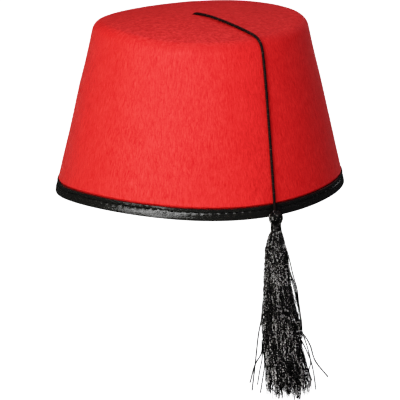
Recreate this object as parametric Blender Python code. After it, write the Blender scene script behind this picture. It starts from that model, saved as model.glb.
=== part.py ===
"""Fez hat: a moulded felt crown with a bound rim, and a cord and tassel from the middle of its top.

Metres, +Z up. The origin is the middle of the head opening, on the plane of the rim, and the hat is
held up there, so the tassel hangs below the rim. -Y is the side that the tassel's cord comes down.
The felt is soft and stands a little out of true: its rim and top wave up and down, and the crown
leans. Every turned piece is warped in the same way.
"""

import math
from collections import namedtuple

import bmesh
import bpy
from mathutils import Matrix, Vector

MM = 0.001
GAP = 0.3 * MM  # clearance between pieces that touch on the real hat
SIDES_OF_CROWN = 72

# Crown: the outer face of the felt, as turned, before it is warped.
RIM_RADIUS = 95.0 * MM
TOP_RADIUS = 68.4 * MM  # where the line of the side would meet the top
TOP_HEIGHT = 107.3 * MM  # height of that corner above the rim
SHOULDER_RADIUS = 9.7 * MM
TOP_DOME = 4.4 * MM  # how far the middle of the top stands above its edge
FELT = 2.0 * MM
PRESSED_FELT = 1.2 * MM  # the felt's edge, squeezed inside the binding

# The warp: waves in height round the rim and round the edge of the top, each of so many lobes, and
# how the crown leans.
Wave = namedtuple("Wave", "lobes height bearing_deg")
RIM_WAVES = (Wave(2, 0.86 * MM, 83.0), Wave(3, 1.65 * MM, -11.0))
TOP_WAVES = (Wave(2, 1.9 * MM, 34.0), Wave(3, 0.6 * MM, -24.0))
TOP_SHIFT = 2.4 * MM  # the top sits this far towards +X
TOP_SLOPE = 0.0056  # and falls by this share of the way along +X

# Rim binding: a strip folded over the felt's edge and stitched through.
BINDING = 1.0 * MM
BINDING_OUTSIDE = 7.9 * MM  # height of the leg that shows
BINDING_INSIDE = 6.5 * MM
BINDING_FOLD = 0.8 * MM  # bevel at the foot of the fold
FELT_TUCK = 1.4 * MM  # height over which the felt swells out again above the binding

# Cord: comes up through the middle of the top, lies across it and hangs down the side.
CORD_RADIUS = 0.95 * MM
CORD_SAMPLE = 6.0 * MM  # longest step along the cord's smooth line
CORD_BORE = CORD_RADIUS + 0.35 * MM
ON_FELT = CORD_RADIUS + GAP  # the cord's middle stands this far off what it lies on
KNOT_RADIUS = 3.4 * MM
KNOT_SQUASH = 0.72

# The cord's way over the crown: how far along the felt from the middle of the top, the bearing in
# plan, and the height of its middle off the felt.
FeltPoint = namedtuple("FeltPoint", "reach bearing_deg lift")
CORD_ON_CROWN = (
    FeltPoint(9.7 * MM, -120.5, -3.9 * MM),
    FeltPoint(9.8 * MM, -119.5, -2.9 * MM),
    FeltPoint(10.1 * MM, -116.5, -0.9 * MM),
    FeltPoint(10.7 * MM, -108.5, 0.8 * MM),
    FeltPoint(12.0 * MM, -98.0, 1.6 * MM),
    FeltPoint(14.6 * MM, -86.0, 1.4 * MM),
    FeltPoint(21.3 * MM, -74.0, ON_FELT),
    FeltPoint(31.5 * MM, -66.4, ON_FELT),
    FeltPoint(42.5 * MM, -62.3, ON_FELT),
    FeltPoint(50.5 * MM, -60.4, ON_FELT),
    FeltPoint(57.0 * MM, -59.4, ON_FELT),
    FeltPoint(62.5 * MM, -58.8, ON_FELT),
    FeltPoint(66.3 * MM, -58.4, ON_FELT),
    FeltPoint(70.0 * MM, -58.1, ON_FELT),
    FeltPoint(73.8 * MM, -57.9, ON_FELT),
    FeltPoint(78.0 * MM, -57.9, ON_FELT),
    FeltPoint(84.0 * MM, -58.0, ON_FELT),
    FeltPoint(97.0 * MM, -58.4, ON_FELT),
    FeltPoint(113.0 * MM, -59.0, ON_FELT),
    FeltPoint(130.0 * MM, -59.6, ON_FELT),
    FeltPoint(147.0 * MM, -60.2, ON_FELT),
    FeltPoint(160.0 * MM, -60.6, ON_FELT),
    FeltPoint(166.0 * MM, -60.8, ON_FELT + 0.1 * MM),
)
# On from the binding into the tassel's ball and down through the tassel, from the ball's middle.
CORD_IN_TASSEL = (
    Vector((-0.6, 5.3, 7.2)) * MM,
    Vector((-0.4, 3.8, 4.6)) * MM,
    Vector((-0.2, 1.9, 1.9)) * MM,
    Vector((0.0, 0.5, -1.2)) * MM,
    Vector((0.0, 0.0, -4.8)) * MM,
    Vector((0.0, 0.0, -9.0)) * MM,
    Vector((-0.2, 0.0, -16.0)) * MM,
    Vector((0.1, 0.0, -28.0)) * MM,
    Vector((0.8, 0.0, -41.0)) * MM,
    Vector((1.8, 0.0, -54.0)) * MM,
    Vector((2.8, 0.0, -66.0)) * MM,
)
HOLE_STRETCH = 4.2 * MM  # the cord slants through its hole over this length in plan

# Tassel: ball, neck and a skirt of locks that spreads as it falls.
BALL_CENTRE = Vector((46.6, -88.2, -0.5)) * MM
BALL_RADIUS = 4.25 * MM
BALL_CAP_DEG = 14.0  # the ball ends in a small flat, this far from its pole
BALL_STEPS = 7
NECK_RADIUS = 3.05 * MM
NECK_END = 8.6 * MM  # drop from the ball's middle to where the skirt springs
WRAP_TOP = 6.4 * MM
WRAP_TURNS = 3
WRAP_THREAD = 0.35 * MM  # radius of the thread wound round the neck
WRAP_BACK = 0.3 * MM  # depth of the wrap behind its turns
SKIRT_DEPTH = 0.85  # the skirt is this much shallower from front to back
SkirtStation = namedtuple("SkirtStation", "drop drift half_width")
SKIRT = (
    SkirtStation(8.6 * MM, 0.1 * MM, 3.1 * MM),
    SkirtStation(12.5 * MM, -0.2 * MM, 4.7 * MM),
    SkirtStation(21.0 * MM, -0.3 * MM, 6.3 * MM),
    SkirtStation(30.5 * MM, 0.2 * MM, 7.3 * MM),
    SkirtStation(47.0 * MM, 1.2 * MM, 9.2 * MM),
    SkirtStation(66.5 * MM, 2.9 * MM, 11.9 * MM),
    SkirtStation(86.0 * MM, 4.1 * MM, 12.3 * MM),
    SkirtStation(100.0 * MM, 5.9 * MM, 13.0 * MM),
    SkirtStation(120.0 * MM, 6.9 * MM, 13.6 * MM),
)
CORE_END = 112.0 * MM
CORE_SHARE = 0.74  # the skirt's solid heart, as a share of its half width
CORE_SIDES = 16
LOCK_START = 11.5 * MM
LOCK_PLACE = 0.72  # how far out each lock's middle lies, as a share of the half width
LOCK_SIZE = 0.27  # a lock's radius, as a share of the half width
LOCK_TIP = 8.0 * MM  # length over which a lock's end tapers
LOCK_TIP_SHARE = 0.45
LOCK_STEPS = 8
LOCK_SIDES = 6
Lock = namedtuple("Lock", "bearing_deg turn_deg end")
LOCKS = (
    Lock(4.0, 6.0, 115.0 * MM),
    Lock(33.0, -5.0, 117.5 * MM),
    Lock(62.0, 4.0, 114.5 * MM),
    Lock(90.0, -8.0, 118.0 * MM),
    Lock(121.0, 5.0, 115.5 * MM),
    Lock(150.0, 8.0, 118.5 * MM),
    Lock(182.0, -4.0, 114.5 * MM),
    Lock(208.0, 7.0, 117.5 * MM),
    Lock(237.0, -6.0, 120.0 * MM),
    Lock(268.0, 5.0, 116.0 * MM),
    Lock(297.0, 9.0, 119.0 * MM),
    Lock(330.0, -5.0, 116.5 * MM),
)


# ---------------------------------------------------------------- materials


def material(name, colour, roughness, metallic=0.0):
    """A Principled material of one colour."""
    made = bpy.data.materials.new(name)
    made.use_nodes = True
    shader = made.node_tree.nodes["Principled BSDF"]
    shader.inputs["Base Color"].default_value = (*colour, 1.0)
    shader.inputs["Roughness"].default_value = roughness
    shader.inputs["Metallic"].default_value = metallic
    made.diffuse_color = (*colour, 1.0)
    return made


# ---------------------------------------------------------------- objects and meshes


def add_object(name, data, parent, place=(0.0, 0.0, 0.0)):
    """A named object in the scene, hung on its parent."""
    made = bpy.data.objects.new(name, data)
    bpy.context.scene.collection.objects.link(made)
    made.parent = parent
    made.location = place
    return made


def mesh_from(bm, name, look=None, smooth_angle=40.0):
    """Turn a bmesh into a smooth-shaded mesh whose faces point out."""
    bmesh.ops.recalc_face_normals(bm, faces=bm.faces)
    mesh = bpy.data.meshes.new(name)
    bm.to_mesh(mesh)
    bm.free()
    mesh.shade_smooth()
    mesh.set_sharp_from_angle(angle=math.radians(smooth_angle))
    if look:
        mesh.materials.append(look)
    return mesh


def hide_as_guide(guide):
    """Mark an object as a cutter or a guide, which is no piece of the hat."""
    guide.hide_render = True
    guide.display_type = "WIRE"


def add_boolean(target, operation, tool=None, tools=None):
    """An exact Boolean with one object or with a collection of them."""
    step = target.modifiers.new(operation.lower(), "BOOLEAN")
    step.operation = operation
    step.solver = "EXACT"
    if tools:
        step.operand_type = "COLLECTION"
        step.collection = tools
    else:
        step.object = tool


def turned(section, sides, closed):
    """Spin a section of (radius, height) points about Z into a closed body."""
    bm = bmesh.new()
    points = [bm.verts.new((radius, 0.0, height)) for radius, height in section]
    pairs = list(zip(points, points[1:]))
    if closed:
        pairs.append((points[-1], points[0]))
    edges = [bm.edges.new(pair) for pair in pairs]
    bmesh.ops.spin(
        bm,
        geom=points + edges,
        axis=(0.0, 0.0, 1.0),
        cent=(0.0, 0.0, 0.0),
        angle=2.0 * math.pi,
        steps=sides,
        use_merge=True,
    )
    bmesh.ops.remove_doubles(bm, verts=bm.verts, dist=0.01 * MM)
    return bm


def skinned(rings):
    """Join rings of points into one tube with closed ends."""
    bm = bmesh.new()
    loops = [[bm.verts.new(point) for point in ring] for ring in rings]
    for lower, upper in zip(loops, loops[1:]):
        count = len(lower)
        for side in range(count):
            other = (side + 1) % count
            bm.faces.new((lower[side], lower[other], upper[other], upper[side]))
    bm.faces.new(list(reversed(loops[0])))
    bm.faces.new(loops[-1])
    return bm


# ---------------------------------------------------------------- the crown's form


def side_radius(height):
    """Radius of the turned side at a height."""
    return RIM_RADIUS + (TOP_RADIUS - RIM_RADIUS) * height / TOP_HEIGHT


def felt_profile(side_steps=5, shoulder_steps=7, dome_steps=5, offset=0.0):
    """The outer face from the rim to the middle of the top, as (radius, height) points.

    The offset moves every point along the face's normal, out of the felt where it is positive.
    """
    lean = math.atan2(RIM_RADIUS - TOP_RADIUS, TOP_HEIGHT)
    dome_edge_slope = math.atan(2.0 * TOP_DOME / TOP_RADIUS)
    side_normal = Vector((math.cos(lean), math.sin(lean)))
    top_normal = Vector((math.sin(dome_edge_slope), math.cos(dome_edge_slope)))
    corner_to_centre = Matrix((side_normal, top_normal)).inverted() @ Vector((1.0, 1.0))
    shoulder = Vector((TOP_RADIUS, TOP_HEIGHT)) - corner_to_centre * SHOULDER_RADIUS
    side_end = shoulder + side_normal * SHOULDER_RADIUS

    points = []
    for step in range(side_steps):
        height = side_end.y * step / side_steps
        points.append((Vector((side_radius(height), height)), side_normal))
    for step in range(shoulder_steps + 1):
        share = step / shoulder_steps
        turn = lean + (math.pi / 2.0 - dome_edge_slope - lean) * share
        normal = Vector((math.cos(turn), math.sin(turn)))
        points.append((shoulder + normal * SHOULDER_RADIUS, normal))
    edge = points[-1][0]
    crest = edge.y + TOP_DOME * (edge.x / TOP_RADIUS) ** 2
    for step in range(1, dome_steps + 1):
        radius = edge.x * (1.0 - step / dome_steps)
        slope = math.atan(2.0 * TOP_DOME * radius / TOP_RADIUS**2)
        place = Vector((radius, crest - TOP_DOME * (radius / TOP_RADIUS) ** 2))
        points.append((place, Vector((math.sin(slope), math.cos(slope)))))
    return [tuple(place + normal * offset) for place, normal in points]


def warped(point):
    """Move a turned point to its place on the real, slightly warped hat."""
    rise = min(max(point.z / TOP_HEIGHT, 0.0), 1.0)
    share = point.xy.length / side_radius(rise * TOP_HEIGHT)
    bearing = math.atan2(point.y, point.x)
    x = point.x + TOP_SHIFT * rise
    z = point.z - TOP_SLOPE * x * rise
    for waves, weight in ((RIM_WAVES, 1.0 - rise), (TOP_WAVES, rise)):
        for wave in waves:
            turn = wave.lobes * (bearing - math.radians(wave.bearing_deg))
            z += weight * wave.height * share**wave.lobes * math.cos(turn)
    return Vector((x, point.y, z))


def warp(bm):
    """Warp every vertex of a turned body with the hat."""
    for vertex in bm.verts:
        vertex.co = warped(vertex.co)


def crown_point(place):
    """A point of the cord's way over the crown, in space."""
    profile = [Vector(point) for point in felt_profile(24, 24, 24)][::-1]
    lifted = [Vector(point) for point in felt_profile(24, 24, 24, place.lift)][::-1]
    walked = 0.0
    for index in range(len(profile) - 1):
        length = (profile[index + 1] - profile[index]).length
        if walked + length >= place.reach or index == len(profile) - 2:
            share = (place.reach - walked) / length
            break
        walked += length
    radius, height = lifted[index].lerp(lifted[index + 1], share)
    bearing = math.radians(place.bearing_deg)
    return warped(Vector((radius * math.cos(bearing), radius * math.sin(bearing), height)))


# ---------------------------------------------------------------- the cord's line


def cord_route():
    """The route's own points, from the knot under the top to the cord's end in the tassel."""
    over_crown = [crown_point(place) for place in CORD_ON_CROWN]
    in_tassel = [BALL_CENTRE + step for step in CORD_IN_TASSEL]
    return over_crown + in_tassel


def smooth_line(route):
    """Points along one smooth curve through the route, closer together where it bends."""
    before = route[0] * 2.0 - route[1]
    after = route[-1] * 2.0 - route[-2]
    padded = [before, *route, after]
    line = []
    for p0, p1, p2, p3 in zip(padded, padded[1:], padded[2:], padded[3:]):
        span = (p2 - p1).length
        start = tangent(p0, p1, p2) * span
        end = tangent(p1, p2, p3) * span
        steps = max(2, math.ceil(span / CORD_SAMPLE))
        line += [hermite(p1, p2, start, end, step / steps) for step in range(steps)]
    return line + [route[-1]]


def tangent(before, here, after):
    """Direction of a smooth curve at a point between two others, whatever their spacing."""
    back = (here - before).length
    ahead = (after - here).length
    return ((here - before) / back * ahead + (after - here) / ahead * back) / (back + ahead)


def hermite(start, end, start_pull, end_pull, t):
    """A point on the cubic from start to end."""
    t2, t3 = t * t, t * t * t
    return (
        start * (2.0 * t3 - 3.0 * t2 + 1.0)
        + start_pull * (t3 - 2.0 * t2 + t)
        + end * (3.0 * t2 - 2.0 * t3)
        + end_pull * (t3 - t2)
    )


def cord_curve(name, line, radius):
    """A round tube with closed ends along a line of points."""
    curve = bpy.data.curves.new(name, "CURVE")
    curve.dimensions = "3D"
    curve.bevel_depth = radius
    curve.bevel_resolution = 2
    curve.use_fill_caps = True
    spline = curve.splines.new("POLY")
    spline.points.add(len(line) - 1)
    for point, place in zip(spline.points, line):
        point.co = (*place, 1.0)
    return curve


def add_bore_cutter(name, line, parent):
    """A guide tube along a stretch of the cord, wider than the cord by its clearance."""
    scratch = bpy.data.objects.new(name, cord_curve(name, line, CORD_BORE))
    bpy.context.scene.collection.objects.link(scratch)
    solid = bpy.data.meshes.new_from_object(scratch.evaluated_get(bpy.context.evaluated_depsgraph_get()))
    bpy.data.objects.remove(scratch)
    cutter = add_object(name, solid, parent)
    hide_as_guide(cutter)
    return cutter


def stretch_in_hole(line):
    """The part of the cord's line from its knot up through the top, before it lies on the felt."""
    return [point for point in line if (point.xy - line[0].xy).length < HOLE_STRETCH and point.z > 0.0]


# ---------------------------------------------------------------- pieces


def add_crown(parent, line):
    """The felt: one hollow shell, squeezed at its edge by the binding and pierced for the cord."""
    foot = BINDING + GAP
    squeezed_face = -(BINDING + GAP)
    squeezed_back = squeezed_face - PRESSED_FELT
    outer_tuck = BINDING_OUTSIDE + GAP
    inner_tuck = BINDING_INSIDE + GAP
    outer = [
        (side_radius(foot) + squeezed_face, foot),
        (side_radius(outer_tuck) + squeezed_face, outer_tuck),
        (side_radius(outer_tuck + FELT_TUCK), outer_tuck + FELT_TUCK),
    ]
    inner = [
        (side_radius(foot) + squeezed_back, foot),
        (side_radius(inner_tuck) + squeezed_back, inner_tuck),
        (side_radius(inner_tuck + FELT_TUCK) - FELT, inner_tuck + FELT_TUCK),
    ]
    outer += felt_profile(side_steps=5)[1:]
    inner += felt_profile(side_steps=4, shoulder_steps=6, dome_steps=4, offset=-FELT)[1:]
    bm = turned(outer + inner[::-1], SIDES_OF_CROWN, closed=True)
    warp(bm)
    look = material("red_felt", (0.72, 0.03, 0.04), 0.95)
    crown = add_object("crown", mesh_from(bm, "crown", look), parent)
    add_boolean(crown, "DIFFERENCE", add_bore_cutter("cord_hole", stretch_in_hole(line), parent))
    return crown


def add_rim_binding(parent):
    """The strip over the felt's edge: outer leg, fold and inner leg."""
    slot_face = -BINDING
    slot_back = slot_face - GAP - PRESSED_FELT - GAP
    back = slot_back - BINDING
    corners = (
        (-BINDING_FOLD, 0.0),
        (0.0, BINDING_FOLD),
        (0.0, BINDING_OUTSIDE / 2.0),
        (0.0, BINDING_OUTSIDE),
        (slot_face, BINDING_OUTSIDE),
        (slot_face, BINDING),
        (slot_back, BINDING),
        (slot_back, BINDING_INSIDE),
        (back, BINDING_INSIDE),
        (back, BINDING_FOLD),
        (back + BINDING_FOLD, 0.0),
    )
    section = [(side_radius(height) + offset, height) for offset, height in corners]
    bm = turned(section, SIDES_OF_CROWN, closed=True)
    warp(bm)
    look = material("black_leather", (0.012, 0.012, 0.013), 0.3)
    return add_object("rim_binding", mesh_from(bm, "rim_binding", look), parent)


def add_cord_knot(parent, line):
    """The knot under the top that the cord is pulled up against."""
    bm = bmesh.new()
    bmesh.ops.create_uvsphere(bm, u_segments=14, v_segments=8, radius=KNOT_RADIUS)
    bmesh.ops.scale(bm, vec=(1.0, 1.0, KNOT_SQUASH), verts=bm.verts)
    under_felt = crown_point(CORD_ON_CROWN[0]._replace(lift=-FELT - GAP))
    place = under_felt - Vector((0.0, 0.0, KNOT_RADIUS * KNOT_SQUASH))
    look = material("black_knot", (0.01, 0.01, 0.01), 0.7)
    knot = add_object("cord_knot", mesh_from(bm, "cord_knot", look), parent, place)
    below = line[0] - (line[1] - line[0]).normalized() * GAP
    add_boolean(knot, "DIFFERENCE", add_bore_cutter("knot_bore", [below, *stretch_in_hole(line)], parent))
    return knot


def add_hanging_cord(parent, line):
    """The cord from its knot, over the crown, to its end in the tassel."""
    curve = cord_curve("hanging_cord", line, CORD_RADIUS)
    curve.materials.append(material("black_cord", (0.01, 0.01, 0.01), 0.6))
    return add_object("hanging_cord", curve, parent)


def skirt_at(drop):
    """The skirt's middle and half width at a drop below the ball's middle."""
    for upper, lower in zip(SKIRT, SKIRT[1:]):
        if drop <= lower.drop or lower is SKIRT[-1]:
            share = (drop - upper.drop) / (lower.drop - upper.drop)
            break
    drift = upper.drift + (lower.drift - upper.drift) * share
    half_width = upper.half_width + (lower.half_width - upper.half_width) * share
    return Vector((drift, 0.0, -drop)), half_width


def level_ring(centre, half_width, half_depth, sides):
    """A level oval ring of points about a centre."""
    turns = [2.0 * math.pi * side / sides for side in range(sides)]
    return [centre + Vector((half_width * math.cos(t), half_depth * math.sin(t), 0.0)) for t in turns]


def tassel_core():
    """Ball, neck and the solid heart of the skirt, as level rings from the top down."""
    rings = []
    cap_angle = math.radians(BALL_CAP_DEG)
    neck_angle = math.pi - math.asin(NECK_RADIUS / BALL_RADIUS)
    for step in range(BALL_STEPS + 1):
        angle = cap_angle + (neck_angle - cap_angle) * step / BALL_STEPS
        middle = Vector((0.0, 0.0, BALL_RADIUS * math.cos(angle)))
        radius = BALL_RADIUS * math.sin(angle)
        rings.append(level_ring(middle, radius, radius, CORE_SIDES))
    rings.append(level_ring(Vector((0.0, 0.0, -NECK_END)), NECK_RADIUS, NECK_RADIUS, CORE_SIDES))
    for station in SKIRT[1:-1]:
        middle, half_width = skirt_at(station.drop)
        wide = max(half_width * CORE_SHARE, NECK_RADIUS)
        rings.append(level_ring(middle, wide, wide * SKIRT_DEPTH, CORE_SIDES))
    middle, half_width = skirt_at(CORE_END)
    wide = half_width * CORE_SHARE
    rings.append(level_ring(middle, wide, wide * SKIRT_DEPTH, CORE_SIDES))
    return skinned(rings)


def tassel_lock(lock):
    """One lock of the skirt, from inside its heart to a tapered tip."""
    even_length = lock.end - LOCK_TIP - LOCK_START
    drops = [LOCK_START + even_length * step / LOCK_STEPS for step in range(LOCK_STEPS + 1)]
    rings = []
    for drop in (*drops, lock.end):
        middle, half_width = skirt_at(drop)
        bearing = math.radians(lock.bearing_deg + lock.turn_deg * drop / lock.end)
        out = half_width * LOCK_PLACE
        centre = middle + Vector((out * math.cos(bearing), out * SKIRT_DEPTH * math.sin(bearing), 0.0))
        radius = half_width * LOCK_SIZE
        if drop == lock.end:
            radius *= LOCK_TIP_SHARE
        rings.append(level_ring(centre, radius, radius, LOCK_SIDES))
    return skinned(rings)


def add_tassel(parent, line):
    """Ball, neck and skirt of locks in one body, bored for the cord that it hangs on."""
    look = material("black_rayon", (0.015, 0.015, 0.016), 0.4)
    tassel = add_object("tassel", mesh_from(tassel_core(), "tassel", look), parent, BALL_CENTRE)
    locks = bpy.data.collections.new("tassel_locks")
    bpy.context.scene.collection.children.link(locks)
    for number, lock in enumerate(LOCKS):
        name = f"lock_{number:02d}"
        strand = bpy.data.objects.new(name, mesh_from(tassel_lock(lock), name))
        locks.objects.link(strand)
        strand.parent = parent
        strand.location = BALL_CENTRE
        hide_as_guide(strand)
    add_boolean(tassel, "UNION", tools=locks)
    inside = [point for point in line if point.z < BALL_CENTRE.z + BALL_RADIUS + CORD_BORE]
    beyond = line[-1] + (line[-1] - line[-2]).normalized() * GAP
    add_boolean(tassel, "DIFFERENCE", add_bore_cutter("tassel_bore", [*inside, beyond], parent))
    return tassel


def add_neck_wrap(parent):
    """The thread wound round the tassel's neck."""
    bore = NECK_RADIUS + GAP
    section = [(bore, 0.0)]
    arc_steps = 4
    for turn in range(WRAP_TURNS):
        for step in range(arc_steps + 1):
            angle = math.pi * step / arc_steps - math.pi / 2.0
            out = bore + WRAP_BACK + WRAP_THREAD * math.cos(angle)
            height = WRAP_THREAD * (2.0 * turn + 1.0 + math.sin(angle))
            if step or not turn:
                section.append((out, height))
    section.append((bore, 2.0 * WRAP_THREAD * WRAP_TURNS))
    bm = turned(section, 20, closed=True)
    place = BALL_CENTRE - Vector((0.0, 0.0, WRAP_TOP + 2.0 * WRAP_THREAD * WRAP_TURNS))
    look = material("black_thread", (0.015, 0.015, 0.016), 0.5)
    return add_object("neck_wrap", mesh_from(bm, "neck_wrap", look), parent, place)


def build():
    """Build the hat round the middle of its head opening."""
    for leftover in list(bpy.data.objects):
        bpy.data.objects.remove(leftover)
    head_opening = add_object("head_opening", None, None)
    line = smooth_line(cord_route())
    add_crown(head_opening, line)
    add_rim_binding(head_opening)
    add_cord_knot(head_opening, line)
    add_hanging_cord(head_opening, line)
    add_tassel(head_opening, line)
    add_neck_wrap(head_opening)


build()
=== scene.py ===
"""Looks of the fez: felt crown, bound rim, hanging cord and tassel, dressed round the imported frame.

Metres, +Z up, in the frame's own place: the origin is the middle of the head opening and -Y is the
side that the cord comes down.
"""

from __future__ import annotations

import logging
import math
import random
import sys
from dataclasses import dataclass
from enum import Enum

import bpy
import numpy as np
from mathutils import Matrix, Vector, noise

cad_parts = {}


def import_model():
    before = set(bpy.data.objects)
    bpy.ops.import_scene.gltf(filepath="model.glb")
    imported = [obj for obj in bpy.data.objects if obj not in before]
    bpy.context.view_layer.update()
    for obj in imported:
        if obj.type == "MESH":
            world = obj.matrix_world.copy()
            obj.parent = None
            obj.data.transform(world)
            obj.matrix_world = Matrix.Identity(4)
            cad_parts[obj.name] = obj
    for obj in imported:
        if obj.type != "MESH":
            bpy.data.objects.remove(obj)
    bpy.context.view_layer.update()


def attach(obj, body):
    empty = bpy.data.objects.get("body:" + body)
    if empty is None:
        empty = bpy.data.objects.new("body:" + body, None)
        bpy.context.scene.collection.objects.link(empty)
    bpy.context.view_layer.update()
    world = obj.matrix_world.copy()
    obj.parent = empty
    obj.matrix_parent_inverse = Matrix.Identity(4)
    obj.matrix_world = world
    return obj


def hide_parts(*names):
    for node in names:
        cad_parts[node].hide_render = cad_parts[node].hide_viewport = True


MM = 0.001
SAME_PLACE = 0.01 * MM
FULL_TURN = 2.0 * math.pi
BODY = "root"
SEED = 7
BALL_CENTRE = Vector((46.6, -88.2, -0.5)) * MM
LOG = logging.getLogger("fez")

Triple = tuple[float, float, float]
Stops = tuple[tuple[float, float], ...]


# ---------------------------------------------------------------- shader maths


class Value:
    """A shader socket that takes part in Python expressions."""

    def __init__(self, finish: Finish, socket: bpy.types.NodeSocket) -> None:
        """Wrap an output socket of a node in a finish's tree."""
        self.finish = finish
        self.socket = socket

    def _math(self, operation: str, left: object, right: object) -> Value:
        """The output of a Math node on two values, each a number or a Value."""
        return self.finish.node("ShaderNodeMath", {"operation": operation}, {0: left, 1: right})

    def __add__(self, other: object) -> Value:
        """Sum."""
        return self._math("ADD", self, other)

    __radd__ = __add__

    def __sub__(self, other: object) -> Value:
        """Difference."""
        return self._math("SUBTRACT", self, other)

    def __rsub__(self, other: object) -> Value:
        """Difference from a number."""
        return self._math("SUBTRACT", other, self)

    def __mul__(self, other: object) -> Value:
        """Product."""
        return self._math("MULTIPLY", self, other)

    __rmul__ = __mul__


class Finish:
    """A material with one Principled shader, and the nodes that feed it."""

    def __init__(self, name: str, **constants: object) -> None:
        """Make the material.

        Args:
            name: the material's name.
            constants: values for the shader's own sockets, with _ for a space in their names.
        """
        self.material = bpy.data.materials.new(name)
        self.material.use_nodes = True
        self.tree = self.material.node_tree
        self.shader = self.tree.nodes["Principled BSDF"]
        for key, value in constants.items():
            self.shader.inputs[key.replace("_", " ")].default_value = value

    def node(self, kind: str, settings: dict, inputs: dict, output: object = 0) -> Value:
        """Add any node.

        Args:
            kind: the node's type.
            settings: its settings, such as an operation, or the stops of a ramp.
            inputs: its sockets' values or links, by name or number.
            output: the output socket's name or number.

        Returns:
            The output socket as a Value.
        """
        made = self.tree.nodes.new(kind)
        for key, value in settings.items():
            if key == "stops":
                self._set_stops(made.color_ramp, value)
            else:
                setattr(made, key, value)
        for key, value in inputs.items():
            if isinstance(value, Value):
                self.tree.links.new(value.socket, made.inputs[key])
            else:
                made.inputs[key].default_value = value
        return Value(self, made.outputs[output])

    @staticmethod
    def _set_stops(ramp: bpy.types.ColorRamp, stops: Stops) -> None:
        """Put grey stops on a ramp.

        Args:
            ramp: the ramp.
            stops: each stop's place and grey level.
        """
        while len(ramp.elements) < len(stops):
            ramp.elements.new(0.5)
        for element, (place, level) in zip(ramp.elements, stops):
            element.position = place
            element.color = (level, level, level, 1.0)

    def feed(self, socket: str, value: Value) -> None:
        """Link a value to one of the shader's sockets."""
        self.tree.links.new(value.socket, self.shader.inputs[socket])

    def place(self) -> Value:
        """Object coordinates, in metres."""
        return self.node("ShaderNodeTexCoord", {}, {}, "Object")

    def attribute(self, name: str) -> Value:
        """A vector attribute of the mesh."""
        return self.node("ShaderNodeAttribute", {"attribute_name": name}, {}, "Vector")

    def scaled(self, vector: Value, scale: Triple) -> Value:
        """A vector times a scale along each axis."""
        settings = {"operation": "MULTIPLY"}
        return self.node("ShaderNodeVectorMath", settings, {0: vector, 1: scale})

    def speckle(
        self, place: Value, size: Triple | float, detail: float = 2.0, swirl: float = 0.0
    ) -> Value:
        """Noise with cells of a size.

        Args:
            place: the coordinates.
            size: a cell's reach, the same all ways or one for each axis.
            detail: the number of finer layers.
            swirl: how far the noise distorts itself.

        Returns:
            Values from 0 to 1.
        """
        reaches = size if isinstance(size, tuple) else (size,) * 3
        cells = self.scaled(place, tuple(1.0 / reach for reach in reaches))
        inputs = {"Vector": cells, "Scale": 1.0, "Detail": detail, "Roughness": 0.6}
        return self.node("ShaderNodeTexNoise", {}, {**inputs, "Distortion": swirl})

    def wandering(self, vector: Value, reach: float, size: float) -> Value:
        """Coordinates pushed about by a slow noise, so that streaks on them bend.

        Args:
            vector: the coordinates, in metres.
            reach: how far they move.
            size: the distance over which the push changes.

        Returns:
            The moved coordinates.
        """
        inputs = {"Vector": self.scaled(vector, (1.0 / size,) * 3), "Scale": 1.0, "Detail": 1.0}
        push = self.node("ShaderNodeTexNoise", {}, inputs, "Color")
        moved = self.scaled(push, (reach,) * 3)
        return self.node("ShaderNodeVectorMath", {"operation": "ADD"}, {0: vector, 1: moved})

    def ramp(self, value: Value, stops: Stops) -> Value:
        """A value through a ramp of (place, level) stops."""
        return self.node("ShaderNodeValToRGB", {"stops": stops}, {0: value})

    def between(self, share: Value, low: Triple | Value, high: Triple | Value) -> Value:
        """A colour between two others.

        Args:
            share: 0 for the first colour, 1 for the second.
            low: the first colour, or a Value.
            high: the second colour, or a Value.

        Returns:
            The mixed colour.
        """
        first, second = ((*c, 1.0) if isinstance(c, tuple) else c for c in (low, high))
        settings = {"data_type": "RGBA"}
        return self.node("ShaderNodeMix", settings, {0: share, 6: first, 7: second}, 2)

    def relief(self, height: Value, depth: float, strength: float) -> None:
        """Feed a height, as a share of a depth in metres, to the shader's normal."""
        inputs = {"Height": height, "Distance": depth, "Strength": strength}
        self.feed("Normal", self.node("ShaderNodeBump", {}, inputs))


# ---------------------------------------------------------------- finishes


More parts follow.
